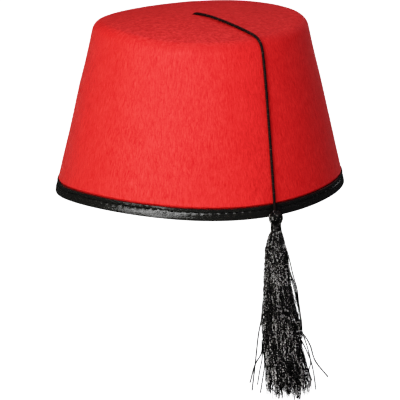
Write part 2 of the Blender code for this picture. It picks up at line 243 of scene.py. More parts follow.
@dataclass(frozen=True)
class Felt:
    """Pressed felt: short fibres that wander, mostly up the side and along X on the top.

    A fibre's reach is given along each axis. The finer layer's fibres are smaller by a factor, and
    the tones say how the fibres' height turns from the shade to the light.
    """

    shade: Triple = (0.44, 0.004, 0.007)
    light: Triple = (1.0, 0.066, 0.058)
    roughness: float = 0.7
    gloss: float = 0.2
    side_fibre: Triple = (0.6 * MM, 0.6 * MM, 5.0 * MM)
    top_fibre: Triple = (2.4 * MM, 2.2 * MM, 2.2 * MM)
    finer: float = 2.3
    wander: float = 3.6 * MM
    wander_size: float = 9.0 * MM
    speck_size: float = 0.75 * MM
    cloud_size: float = 16.0 * MM
    tones: Stops = ((0.2, 0.0), (0.8, 1.0))
    nap: float = 0.6 * MM
    nap_strength: float = 0.5

    def dress(self) -> bpy.types.Material:
        """Make the material.

        Returns:
            The material, for a piece that has the attributes grain and top_share.
        """
        finish = Finish("red felt", Roughness=self.roughness, Specular_IOR_Level=self.gloss)
        side = self._fibres(finish, finish.attribute("grain"), self.side_fibre)
        top = self._fibres(finish, finish.place(), self.top_fibre)
        fibres = finish.between(finish.attribute("top_share"), side, top)
        specks = finish.speckle(finish.place(), self.speck_size)
        clouds = finish.speckle(finish.place(), self.cloud_size)
        share = finish.ramp(specks * 0.2 + fibres * 0.72 + clouds * 0.08, self.tones)
        finish.feed("Base Color", finish.between(share, self.shade, self.light))
        finish.relief(fibres * 0.7 + specks * 0.3, self.nap, self.nap_strength)
        return finish.material

    def _fibres(self, finish: Finish, place: Value, size: Triple) -> Value:
        """Two layers of streaks that bend about.

        Args:
            finish: the finish to add nodes to.
            place: the coordinates.
            size: a streak's reach along each axis.

        Returns:
            The streaks' height, 0 to 1.
        """
        bent = finish.wandering(place, self.wander, self.wander_size)
        wide = finish.speckle(bent, size, 1.0)
        narrow = finish.speckle(bent, tuple(reach / self.finer for reach in size), 1.0)
        return wide * 0.65 + narrow * 0.35


@dataclass(frozen=True)
class PolishedBinding:
    """Glossy black imitation leather, with fine creases along the strip.

    The creases are rougher and paler than the polish, and a fine pebble lies over both.
    """

    colour: Triple = (0.019, 0.019, 0.017)
    crease_colour: Triple = (0.035, 0.033, 0.028)
    gloss: float = 0.8
    roughness: float = 0.12
    crease_roughness: float = 0.24
    crease_size: Triple = (2.6 * MM, 2.6 * MM, 0.7 * MM)
    crease_detail: float = 4.0
    crease_swirl: float = 0.8
    worn: Stops = ((0.52, 0.0), (0.78, 1.0))
    pebble_size: float = 0.8 * MM
    relief: float = 0.4 * MM
    relief_strength: float = 0.6

    def dress(self) -> bpy.types.Material:
        """Make the material.

        Returns:
            The material, for a piece that has the attribute grain.
        """
        finish = Finish("black glossy binding", Specular_IOR_Level=self.gloss)
        grain = finish.attribute("grain")
        creases = finish.speckle(grain, self.crease_size, self.crease_detail, self.crease_swirl)
        pebble = finish.speckle(finish.place(), self.pebble_size)
        wear = finish.ramp(creases, self.worn)
        finish.feed("Base Color", finish.between(wear, self.colour, self.crease_colour))
        finish.feed("Roughness", self.roughness + creases * self.crease_roughness)
        finish.relief(creases * 0.5 + pebble * 0.5, self.relief, self.relief_strength)
        return finish.material


@dataclass(frozen=True)
class Yarn:
    """Black thread in one of its qualities, with painted glints for the flash of its twist.

    The painted glints are highlights painted into the colour. A turn of the twist and a brighter
    span of the thread have a length each, and the painted glint stops say how the two together turn
    the colour into the painted glint's. The strands are single fibres.
    """

    name: str
    colour: Triple
    # painted glint: the colour of the highlights painted into the thread
    painted_glint: Triple
    roughness: float
    gloss: float
    turn_length: float
    span_length: float
    turn_across: float = 1.0
    span_across: float = 1.0 / 0.7
    painted_glint_stops: Stops = ((0.525, 0.0), (0.57, 0.12), (0.605, 0.6), (0.645, 1.0))
    strand_size: Triple = (0.25 * MM, 0.25 * MM, 1.0 * MM)
    strand_roughness: float = 0.2
    relief: float = 0.05 * MM
    relief_strength: float = 0.4

    def dress(self) -> bpy.types.Material:
        """Make the material.

        Returns:
            The material, for a piece that has the attribute lay.
        """
        finish = Finish(self.name, Specular_IOR_Level=self.gloss)
        lay = finish.attribute("lay")
        turns = finish.speckle(lay, (self.turn_across, self.turn_length / MM, 1.0), 1.0)
        spans = finish.speckle(lay, (self.span_across, self.span_length / MM, 1.0), 1.0)
        # Painted glints: highlights laid into the base colour where turns and spans run high.
        painted_glint_share = finish.ramp(turns * 0.5 + spans * 0.5, self.painted_glint_stops)
        strands = finish.speckle(finish.place(), self.strand_size)
        smoothest = self.roughness - 0.5 * self.strand_roughness
        finish.feed("Base Color", finish.between(painted_glint_share, self.colour, self.painted_glint))
        finish.feed("Roughness", smoothest + strands * self.strand_roughness)
        finish.relief(strands, self.relief, self.relief_strength)
        return finish.material


class YarnKind(Enum):
    """The threads of this hat: colour, painted glint, roughness, gloss, turn length and span length.
    """

    CORD = Yarn(
        "black braided cord",
        (0.022, 0.014, 0.013), (0.085, 0.06, 0.05), 0.6, 0.12, 0.6 * MM, 1.8 * MM,
    )
    RAYON = Yarn(
        "black rayon thread",
        (0.004, 0.0038, 0.0035), (0.95, 0.92, 0.88), 0.26, 0.6, 0.9 * MM, 18.0 * MM,
    )
    WOUND = Yarn(
        "wound rayon thread",
        (0.004, 0.0038, 0.0035), (0.4, 0.39, 0.37), 0.3, 0.4, 1.2 * MM, 7.0 * MM,
    )
    LOOSE = Yarn(
        "loose rayon thread",
        (0.004, 0.004, 0.004), (0.12, 0.12, 0.11), 0.45, 0.2, 1.4 * MM, 8.0 * MM,
    )
    STITCH = Yarn(
        "black stitching thread",
        (0.006, 0.006, 0.006), (0.03, 0.03, 0.028), 0.8, 0.05, 0.5 * MM, 4.0 * MM,
    )


@dataclass(frozen=True)
class Paper:
    """White paper for the floor, whose glow rises by a slope from a distance behind the hat."""

    grey: float = 0.85
    roughness: float = 0.9
    glow: float = 1.65
    glow_from: float = 0.575
    glow_slope: float = 8.0

    def dress(self) -> bpy.types.Material:
        """Make the material.

        Returns:
            The material.
        """
        finish = Finish(
            "white paper",
            Base_Color=(self.grey, self.grey, self.grey, 1.0),
            Roughness=self.roughness,
            Emission_Strength=self.glow,
        )
        depth = finish.node("ShaderNodeSeparateXYZ", {}, {0: finish.place()}, "Y")
        rise = depth * self.glow_slope - self.glow_slope * self.glow_from
        finish.feed("Emission Color", finish.ramp(rise, ((0.0, 0.0), (1.0, 1.0))))
        return finish.material


# ---------------------------------------------------------------- modelling helpers


def deselect() -> None:
    """Leave edit mode and select nothing."""
    if bpy.context.object and bpy.context.object.mode != "OBJECT":
        bpy.ops.object.mode_set(mode="OBJECT")
    bpy.ops.object.select_all(action="DESELECT")


def work_on(piece: bpy.types.Object) -> None:
    """Make a piece the one selected and active object.

    Args:
        piece: the piece.
    """
    deselect()
    piece.select_set(True)
    bpy.context.view_layer.objects.active = piece


def turned(name: str, section: list[tuple[float, float]], sides: int) -> bpy.types.Object:
    """Spin a closed section about Z.

    Args:
        name: the new object's name.
        section: (radius, height) points, in order.
        sides: the number of steps round.

    Returns:
        The closed body.
    """
    deselect()
    bpy.ops.mesh.primitive_circle_add(vertices=len(section), radius=1.0, location=(0, 0, 0))
    piece = bpy.context.object
    piece.name = piece.data.name = name
    for vertex, (radius, height) in zip(piece.data.vertices, section):
        vertex.co = (radius, 0.0, height)
    bpy.ops.object.mode_set(mode="EDIT")
    bpy.ops.mesh.select_all(action="SELECT")
    bpy.ops.mesh.spin(steps=sides, angle=FULL_TURN, center=(0, 0, 0), axis=(0, 0, 1))
    bpy.ops.mesh.select_all(action="SELECT")
    bpy.ops.mesh.remove_doubles(threshold=SAME_PLACE)
    bpy.ops.mesh.delete_loose(use_verts=True, use_edges=True, use_faces=False)
    bpy.ops.mesh.select_all(action="SELECT")
    bpy.ops.mesh.normals_make_consistent(inside=False)
    bpy.ops.object.mode_set(mode="OBJECT")
    return piece


def smooth(piece: bpy.types.Object, angle: float = 50.0) -> None:
    """Shade a piece smooth, but for edges sharper than an angle in degrees."""
    work_on(piece)
    bpy.ops.object.shade_smooth_by_angle(angle=math.radians(angle))


def finish_piece(
    piece: bpy.types.Object, material: bpy.types.Material, slot: str, *nodes: str
) -> None:
    """Dress a piece, hang it on the body and hide the nodes that it stands for.

    Args:
        piece: the piece.
        material: its material.
        slot: the name of its material slot, which is only logged.
        nodes: the nodes that it replaces.
    """
    piece.data.materials.clear()
    piece.data.materials.append(material)
    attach(piece, BODY)
    if nodes:
        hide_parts(*nodes)
    LOG.info("%s: %d faces in slot %s", piece.name, len(piece.data.polygons), slot)


def frames_along(path: np.ndarray) -> tuple[np.ndarray, np.ndarray]:
    """Two cross directions at each point of a path, carried along without twist.

    Args:
        path: points, one a row.

    Returns:
        The first and the second cross directions.
    """
    ahead = np.gradient(path, axis=0)
    ahead /= np.linalg.norm(ahead, axis=1)[:, None]
    seed = np.array([0.0, 1.0, 0.0]) if abs(ahead[0][1]) < 0.9 else np.array([1.0, 0.0, 0.0])
    across = np.empty_like(path)
    for index, direction in enumerate(ahead):
        seed = seed - direction * seed.dot(direction)
        seed = seed / np.linalg.norm(seed)
        across[index] = seed
    return across, np.cross(ahead, across)


def tubes(name: str, paths: list[np.ndarray], outlines: list[np.ndarray]) -> bpy.types.Object:
    """Closed tubes along paths, as one object.

    Args:
        name: the new object's name.
        paths: for each tube, its points.
        outlines: for each tube, an array of (point, side, 2) offsets along the cross directions.

    Returns:
        The object.
    """
    points, faces, lays = [], [], []
    start = 0
    for number, (path, outline) in enumerate(zip(paths, outlines)):
        across, up = frames_along(path)
        count, sides = outline.shape[:2]
        sideways = outline[..., :1] * across[:, None, :]
        upwards = outline[..., 1:] * up[:, None, :]
        points.append((path[:, None, :] + sideways + upwards).reshape(-1, 3))
        lays.append(lay_along(path, sides, number))
        rings = start + np.arange(count - 1)[:, None] * sides
        corner = rings + np.arange(sides)
        other = rings + (np.arange(sides) + 1) % sides
        quads = np.stack([corner, other, other + sides, corner + sides], axis=-1)
        faces.extend(quads.reshape(-1, 4).tolist())
        faces.append(list(range(start + sides - 1, start - 1, -1)))
        faces.append(list(range(start + (count - 1) * sides, start + count * sides)))
        start += count * sides
    mesh = bpy.data.meshes.new(name)
    mesh.from_pydata(np.concatenate(points).tolist(), [], faces)
    lay = mesh.attributes.new("lay", "FLOAT_VECTOR", "POINT")
    lay.data.foreach_set("vector", np.concatenate(lays).ravel())
    piece = bpy.data.objects.new(name, mesh)
    bpy.context.scene.collection.objects.link(piece)
    return piece


def distances(path: np.ndarray) -> np.ndarray:
    """How far along a path each of its points lies."""
    return np.concatenate([[0.0], np.cumsum(np.linalg.norm(np.diff(path, axis=0), axis=1))])


def lay_along(
    path: np.ndarray, sides: int, number: int, apart: float = 3.7, stagger: float = 7.3
) -> np.ndarray:
    """What the lay attribute holds: which tube, and how far along it in millimetres.

    Both are moved on for each tube, so that no two neighbours get the same painted glints.

    Args:
        path: the tube's path.
        sides: the number of corners of its outline.
        number: which tube it is.
        apart: the step between tubes, across the lay.
        stagger: the step between tubes, along it.

    Returns:
        One row for each of the tube's vertices.
    """
    across = np.full(len(path), apart * number)
    along = distances(path) / MM + stagger * number
    rows = np.stack([across, along, np.zeros(len(path))], axis=1)
    return np.repeat(rows, sides, axis=0)


def round_outline(radii: np.ndarray, sides: int, twist: np.ndarray | float = 0.0) -> np.ndarray:
    """Round outlines for a tube.

    Args:
        radii: the radius at each point of the path.
        sides: the number of corners.
        twist: the turn of the outline at each point, in radians.

    Returns:
        The offsets, as tubes() takes them.
    """
    turns = np.arange(sides) * FULL_TURN / sides + np.atleast_1d(twist)[:, None]
    turns = np.broadcast_to(turns, (len(radii), sides))
    return np.stack([np.cos(turns), np.sin(turns)], axis=-1) * radii[:, None, None]


def round_path(
    radius: np.ndarray | float, bearing: np.ndarray, height: np.ndarray
) -> np.ndarray:
    """Points about Z, one a row, from their radii (or one radius), bearings and heights."""
    radii, bearings, heights = np.broadcast_arrays(radius, bearing, height)
    return np.stack([radii * np.cos(bearings), radii * np.sin(bearings), heights], axis=1)


def resampled(route: np.ndarray, step: float) -> np.ndarray:
    """Evenly spaced points on a smooth curve through a route.

    Args:
        route: the route's points, one a row.
        step: the spacing in metres.

    Returns:
        The points.
    """
    fine = np.array(smooth_line([Vector(point) for point in route], 0.25 * step))
    walked = distances(fine)
    places = np.linspace(0.0, walked[-1], max(2, round(walked[-1] / step) + 1))
    return np.stack([np.interp(places, walked, fine[:, axis]) for axis in range(3)], axis=1)


def smooth_line(route: list[Vector], sample: float) -> list[Vector]:
    """Points along one smooth curve through a route, closer together where it bends.

    Args:
        route: the route's points.
        sample: the longest step.

    Returns:
        The points.
    """
    padded = [route[0] * 2.0 - route[1], *route, route[-1] * 2.0 - route[-2]]
    line = []
    for p0, p1, p2, p3 in zip(padded, padded[1:], padded[2:], padded[3:]):
        span = (p2 - p1).length
        start = tangent(p0, p1, p2) * span
        end = tangent(p1, p2, p3) * span
        steps = max(2, math.ceil(span / sample))
        line += [hermite(p1, p2, start, end, step / steps) for step in range(steps)]
    return line + [route[-1]]


def tangent(before: Vector, here: Vector, after: Vector) -> Vector:
    """Direction of a smooth curve at a point between two others, whatever their spacing.

    Args:
        before: the point before.
        here: the point.
        after: the point after.

    Returns:
        The direction.
    """
    back = (here - before).length
    ahead = (after - here).length
    return ((here - before) / back * ahead + (after - here) / ahead * back) / (back + ahead)


def hermite(start: Vector, end: Vector, start_pull: Vector, end_pull: Vector, t: float) -> Vector:
    """A point on the cubic from one point to another.

    Args:
        start: the first point.
        end: the last point.
        start_pull: the curve's direction and pull at the first point.
        end_pull: the same at the last one.
        t: how far along, from 0 to 1.

    Returns:
        The point.
    """
    t2, t3 = t * t, t * t * t
    ends = start * (2.0 * t3 - 3.0 * t2 + 1.0) + end * (3.0 * t2 - 2.0 * t3)
    return ends + start_pull * (t3 - 2.0 * t2 + t) + end_pull * (t3 - t2)


# ---------------------------------------------------------------- the hat's form


@dataclass(frozen=True)
class Wave:
    """A wave in height round the hat."""

    lobes: int
    height: float
    bearing_deg: float


@dataclass(frozen=True)
class FeltPoint:
    """A place on the cord's way: reach along the felt, bearing, and height off the felt."""

    reach: float
    bearing_deg: float
    lift: float


@dataclass(frozen=True)
class HatForm:
    """The outer face of the felt, as turned, and the warp of the soft hat.

    The warp shifts and tilts the top, lowers the front left of the shoulder and the rim's two
    sides, and adds waves in height that pass from the rim's into the top's on the way up.
    """

    rim_radius: float = 95.0 * MM
    top_radius: float = 68.4 * MM
    top_height: float = 107.3 * MM
    shoulder_radius: float = 8.6 * MM
    top_dome: float = 5.3 * MM
    rim_waves: tuple[Wave, ...] = (Wave(2, 0.86 * MM, 83.0), Wave(3, 1.65 * MM, -11.0))
    top_waves: tuple[Wave, ...] = (Wave(2, 1.9 * MM, 34.0), Wave(3, 0.6 * MM, -24.0))
    front_dip: float = 3.6 * MM
    front_bearing_deg: float = -112.0
    front_narrowness: int = 4
    top_shift: float = 2.4 * MM
    top_slope: float = 0.0056
    side_sag: float = 1.7 * MM
    side_narrowness: int = 12
    cord_steps: tuple[int, int, int] = (24, 24, 24)

    def side_radius(self, height: float) -> float:
        """Radius of the turned side at a height."""
        return self.rim_radius + (self.top_radius - self.rim_radius) * height / self.top_height

    def profile(self, steps: tuple[int, int, int], offset: float = 0.0) -> list[Vector]:
        """The face from the rim to the middle of the top.

        Args:
            steps: the number of steps up the side, over the shoulder and over the dome.
            offset: how far every point stands out along the face's normal.

        Returns:
            (radius, height) points.
        """
        side_steps, shoulder_steps, dome_steps = steps
        lean = math.atan2(self.rim_radius - self.top_radius, self.top_height)
        edge_slope = math.atan(2.0 * self.top_dome / self.top_radius)
        side_normal = Vector((math.cos(lean), math.sin(lean)))
        top_normal = Vector((math.sin(edge_slope), math.cos(edge_slope)))
        inset = Matrix((side_normal, top_normal)).inverted() @ Vector((1.0, 1.0))
        shoulder = Vector((self.top_radius, self.top_height)) - inset * self.shoulder_radius
        side_end = shoulder + side_normal * self.shoulder_radius
        points = []
        for step in range(side_steps):
            height = side_end.y * step / side_steps
            points.append(Vector((self.side_radius(height), height)) + side_normal * offset)
        for step in range(shoulder_steps + 1):
            turn = lean + (math.pi / 2.0 - edge_slope - lean) * step / shoulder_steps
            normal = Vector((math.cos(turn), math.sin(turn)))
            points.append(shoulder + normal * (self.shoulder_radius + offset))
        edge = shoulder + top_normal * self.shoulder_radius
        crest = edge.y + self.top_dome * (edge.x / self.top_radius) ** 2
        for step in range(1, dome_steps + 1):
            radius = edge.x * (1.0 - step / dome_steps)
            slope = math.atan(2.0 * self.top_dome * radius / self.top_radius**2)
            place = Vector((radius, crest - self.top_dome * (radius / self.top_radius) ** 2))
            points.append(place + Vector((math.sin(slope), math.cos(slope))) * offset)
        return points

    def warped(self, point: Vector) -> Vector:
        """Move a turned point to its place on the warped hat.

        Args:
            point: the point on the turned hat.

        Returns:
            Its place.
        """
        rise = min(max(point.z / self.top_height, 0.0), 1.0)
        share = point.xy.length / self.side_radius(rise * self.top_height)
        bearing = math.atan2(point.y, point.x)
        x = point.x + self.top_shift * rise
        z = point.z - self.top_slope * x * rise
        front = max(0.0, math.cos(bearing - math.radians(self.front_bearing_deg)))
        z -= self.front_dip * rise**3 * share**3 * front**self.front_narrowness
        z -= self.side_sag * (1.0 - rise) * math.cos(bearing) ** self.side_narrowness
        for waves, weight in ((self.rim_waves, 1.0 - rise), (self.top_waves, rise)):
            for wave in waves:
                turn = wave.lobes * (bearing - math.radians(wave.bearing_deg))
                z += weight * wave.height * share**wave.lobes * math.cos(turn)
        return Vector((x, point.y, z))

    def over_crown(self, place: FeltPoint) -> Vector:
        """A point of the cord's way over the crown, in space.

        Args:
            place: the point, with its reach from the middle of the top.

        Returns:
            Its place on the warped hat.
        """
        bare = self.profile(self.cord_steps)[::-1]
        lifted = self.profile(self.cord_steps, place.lift)[::-1]
        walked = 0.0
        for index in range(len(bare) - 1):
            length = (bare[index + 1] - bare[index]).length
            if walked + length >= place.reach or index == len(bare) - 2:
                break
            walked += length
        radius, height = lifted[index].lerp(lifted[index + 1], (place.reach - walked) / length)
        bearing = math.radians(place.bearing_deg)
        turned_point = Vector((radius * math.cos(bearing), radius * math.sin(bearing), height))
        return self.warped(turned_point)

    def warp(self, piece: bpy.types.Object) -> None:
        """Warp every vertex of a turned piece with the hat."""
        for vertex in piece.data.vertices:
            vertex.co = self.warped(vertex.co)

    def mark_grain(self, piece: bpy.types.Object) -> None:
        """Note where a piece's grain lies.

        The grain attribute holds each point's place carried out to the rim's radius, and its
        height, so that a pattern on it runs straight up the side.

        Args:
            piece: the piece.
        """
        grain = piece.data.attributes.new("grain", "FLOAT_VECTOR", "POINT")
        for vertex, mark in zip(piece.data.vertices, grain.data):
            bearing = math.atan2(vertex.co.y, vertex.co.x)
            x, y = self.rim_radius * math.cos(bearing), self.rim_radius * math.sin(bearing)
            mark.vector = (x, y, vertex.co.z)


# ---------------------------------------------------------------- pieces


@dataclass
class HangingCord:
    """The cord: from its knot, up through the top, over the crown and into the tassel.

    Its strands are laid round each other, and the grooves between them are a share of the radius.
    """

    form: HatForm
    radius: float = 0.95 * MM
    off_felt: float = 1.25 * MM
    strands: int = 3
    twist_pitch: float = 3.6 * MM
    groove: float = 0.24
    groove_sharpness: float = 0.7
    step: float = 0.3 * MM
    sides: int = 15
    top_of_hole: FeltPoint = FeltPoint(10.1 * MM, -116.5, 0.0)

    def on_crown(self) -> list[FeltPoint]:
        """The route over the crown, as the part's source has it.

        Returns:
            Its points: up through the hole, across the top, and down the side past the binding.
        """
        rising = (
            (9.7, -120.5, -3.9), (9.8, -119.5, -2.9), (10.1, -116.5, -0.9),
            (10.7, -108.5, 0.35), (12.0, -98.0, 0.85), (14.6, -86.0, 1.0),
        )
        resting = (
            (21.3, -74.0), (31.5, -66.4), (42.5, -62.3), (50.5, -60.4), (57.0, -59.4),
            (62.5, -58.8), (66.3, -58.4), (70.0, -58.1), (73.8, -57.9), (78.0, -57.9),
            (84.0, -58.0), (97.0, -58.4), (113.0, -59.0), (130.0, -59.6), (147.0, -60.2),
            (160.0, -60.6),
        )
        points = [FeltPoint(reach * MM, bearing, lift * MM) for reach, bearing, lift in rising]
        points += [FeltPoint(reach * MM, bearing, self.off_felt) for reach, bearing in resting]
        return points + [FeltPoint(166.0 * MM, -60.8, self.off_felt + 0.1 * MM)]

    def in_tassel(self) -> list[Vector]:
        """The route from the binding into the ball and down the tassel.

        Returns:
            Its points, from the ball's middle.
        """
        steps = (
            (-0.6, 5.3, 7.2), (-0.4, 3.8, 4.6), (-0.2, 1.9, 1.9), (0.0, 0.5, -1.2),
            (0.0, 0.0, -4.8), (0.0, 0.0, -9.0), (-0.2, 0.0, -16.0), (0.1, 0.0, -28.0),
            (0.8, 0.0, -41.0), (1.8, 0.0, -54.0), (2.8, 0.0, -66.0),
        )
        return [Vector(step) * MM for step in steps]

    def route(self) -> np.ndarray:
        """The whole route, in space."""
        crown = [self.form.over_crown(place) for place in self.on_crown()]
        return np.array(crown + [BALL_CENTRE + step for step in self.in_tassel()])

    def exit(self) -> Vector:
        """Where the cord comes out of the top."""
        return self.form.over_crown(self.top_of_hole)

    def build(self) -> tuple[bpy.types.Object, np.ndarray]:
        """Model the cord as strands laid round each other.

        Returns:
            The cord and its centreline.
        """
        line = resampled(self.route(), self.step)
        along = np.arange(len(line)) * self.step
        turns = np.arange(self.sides)[None, :] * FULL_TURN / self.sides
        lay = 0.5 * self.strands * (turns - FULL_TURN * along[:, None] / self.twist_pitch)
        sunk = self.groove * (1.0 - np.abs(np.cos(lay)) ** self.groove_sharpness)
        radii = self.radius * (1.0 - sunk)
        outline = np.stack([np.cos(turns) * radii, np.sin(turns) * radii], axis=-1)
        piece = tubes("hanging_cord_laid", [line], [outline])
        smooth(piece, 75.0)
        return piece, line

    def dress(self, piece: bpy.types.Object) -> None:
        """Dress the cord."""
        finish_piece(piece, YarnKind.CORD.value.dress(), "cord", "hanging_cord")

    def declare(
        self, line: np.ndarray
    ) -> None:
        """Work out where the cord leaves the top and every fourth point of its centreline, and use
        neither.

        Args:
            line: its centreline.
        """
        tuple(self.exit())
        line[::4].tolist() + [line[-1].tolist()]


@dataclass
class CordKnot:
    """The knot under the top that holds the cord."""

    form: HatForm
    place: FeltPoint = FeltPoint(9.7 * MM, -120.5, -4.75 * MM)
    size: float = 0.82 * MM
    rise: float = 1.25
    strand: float = 0.9 * MM
    steps: int = 120
    sides: int = 10

    def build(self) -> bpy.types.Object:
        """Model the knot as one strand that crosses itself three times.

        Returns:
            The knot.
        """
        turn = np.linspace(0.0, FULL_TURN, self.steps, endpoint=False)
        loop = [
            np.sin(turn) + 2.0 * np.sin(2.0 * turn),
            np.cos(turn) - 2.0 * np.cos(2.0 * turn),
            -self.rise * np.sin(3.0 * turn),
        ]
        middle = np.array(self.form.over_crown(self.place))
        path = np.stack(loop, axis=1)[:-1] * self.size + middle
        outline = round_outline(np.full(len(path), self.strand), self.sides)
        piece = tubes("cord_knot_tied", [path], [outline])
        smooth(piece)
        return piece

    def dress(self, piece: bpy.types.Object) -> None:
        """Dress the knot."""
        finish_piece(piece, YarnKind.CORD.value.dress(), "cord", "cord_knot")


@dataclass
class Crown:
    """The moulded felt.

    It is pressed thinner inside the binding and swells above it over the height of the tuck. The
    dents fade in over a height, and the hole for the cord is punched along the cord's first points.
    A point counts as top by the rise of its normal.
    """

    form: HatForm
    felt: float = 2.0 * MM
    pressed: float = 1.2 * MM
    binding: float = 1.0 * MM
    gap: float = 0.3 * MM
    binding_outside: float = 7.45 * MM
    binding_inside: float = 6.5 * MM
    tuck: float = 0.8 * MM
    tuck_steps: int = 8
    bulge: float = 0.12 * MM
    clear: float = 0.5 * MM
    sides: int = 360
    outer_steps: tuple[int, int, int] = (44, 18, 34)
    inner_steps: tuple[int, int, int] = (24, 10, 16)
    dent: float = 0.35 * MM
    dent_size: float = 26.0 * MM
    small_dent: float = 0.2
    small_dent_size: float = 7.0 * MM
    dents_from: float = 12.0 * MM
    dents_fade: float = 20.0 * MM
    dent_rise: float = 0.6
    top_from: float = 0.5
    top_over: float = 0.45
    hole_radius: float = 1.25 * MM
    hole_sides: int = 24
    punch_length: float = 9.0 * MM
    punch_end: int = 12

    def section(self) -> list[tuple[float, float]]:
        """The felt's closed section: up the outer face and back down the inner one.

        Returns:
            (radius, height) points.
        """
        foot = self.binding + self.gap
        outer_edge = self.binding_outside + self.gap
        inner_edge = self.binding_inside + self.gap
        outer = self._leg(outer_edge, -foot, 0.0)
        inner = self._leg(inner_edge, -(foot + self.pressed), -self.felt)
        start = outer_edge + self.tuck + self.clear
        outer += [tuple(p) for p in self.form.profile(self.outer_steps) if p.y > start]
        start = inner_edge + self.tuck + self.clear
        inner += [tuple(p) for p in self.form.profile(self.inner_steps, -self.felt) if p.y > start]
        return outer + inner[::-1]

    def _leg(self, tuck_at: float, squeezed: float, full: float) -> list[tuple[float, float]]:
        """The face's foot inside the binding, and its swell above it.

        Args:
            tuck_at: the height where the binding ends.
            squeezed: the face's offset from the side inside the binding.
            full: its offset above.

        Returns:
            (radius, height) points.
        """
        foot = self.binding + self.gap
        points = [(self.form.side_radius(foot) + squeezed, foot)]
        bulge = math.copysign(self.bulge, full - squeezed)
        for step in range(self.tuck_steps + 1):
            share = step / self.tuck_steps
            height = tuck_at + self.tuck * share
            out = squeezed + (full - squeezed) * share**0.5
            out += bulge * math.sin(math.pi * share) * share
            points.append((self.form.side_radius(height) + out, height))
        return points

    def build(self, line: np.ndarray) -> bpy.types.Object:
        """Spin the felt, warp it and pierce it for the cord.

        The attributes are written last, because the cut leaves none of them.

        Args:
            line: the cord's centreline.

        Returns:
            The crown.
        """
        crown = turned("crown_felt", self.section(), self.sides)
        self.form.warp(crown)
        self._soften(crown)
        self._pierce(crown, line)
        self.form.mark_grain(crown)
        self._mark_top(crown)
        smooth(crown)
        return crown

    def _mark_top(self, crown: bpy.types.Object) -> None:
        """Note how far each point belongs to the top rather than the side, by how level it lies.

        Args:
            crown: the crown.
        """
        marks = crown.data.attributes.new("top_share", "FLOAT_VECTOR", "POINT")
        for vertex, mark in zip(crown.data.vertices, marks.data):
            share = (abs(vertex.normal.z) - self.top_from) / self.top_over
            share = min(max(share, 0.0), 1.0)
            mark.vector = (share * share * (3.0 - 2.0 * share),) * 3

    def _soften(self, crown: bpy.types.Object) -> None:
        """Give the felt its slight unevenness, which fades out at the binding.

        Args:
            crown: the crown.
        """
        elsewhere = Vector((9.0, 0.0, 0.0))
        for vertex in crown.data.vertices:
            fade = min(max((vertex.co.z - self.dents_from) / self.dents_fade, 0.0), 1.0)
            broad = noise.noise(vertex.co / self.dent_size)
            small = noise.noise(vertex.co / self.small_dent_size + elsewhere)
            push = (broad * self.dent + small * self.small_dent * self.dent) * fade
            outwards = Vector((vertex.co.x, vertex.co.y, self.dent_rise * vertex.co.z))
            vertex.co += outwards.normalized() * push

    def _pierce(self, crown: bpy.types.Object, line: np.ndarray) -> None:
        """Cut the cord's hole.

        Args:
            crown: the crown.
            line: the cord's centreline.
        """
        below, above = Vector(line[0]), Vector(line[self.punch_end])
        deselect()
        bpy.ops.mesh.primitive_cylinder_add(
            vertices=self.hole_sides,
            radius=self.hole_radius,
            depth=self.punch_length,
            location=(below + above) / 2.0,
        )
        punch = bpy.context.object
        punch.rotation_mode = "QUATERNION"
        punch.rotation_quaternion = (above - below).to_track_quat("Z", "Y")
        work_on(crown)
        cut = crown.modifiers.new("cord hole", "BOOLEAN")
        cut.operation = "DIFFERENCE"
        cut.solver = "EXACT"
        cut.object = punch
        bpy.ops.object.modifier_apply(modifier=cut.name)
        bpy.data.objects.remove(punch)

    def dress(self, crown: bpy.types.Object) -> None:
        """Dress the felt."""
        finish_piece(crown, Felt().dress(), "felt", "crown")


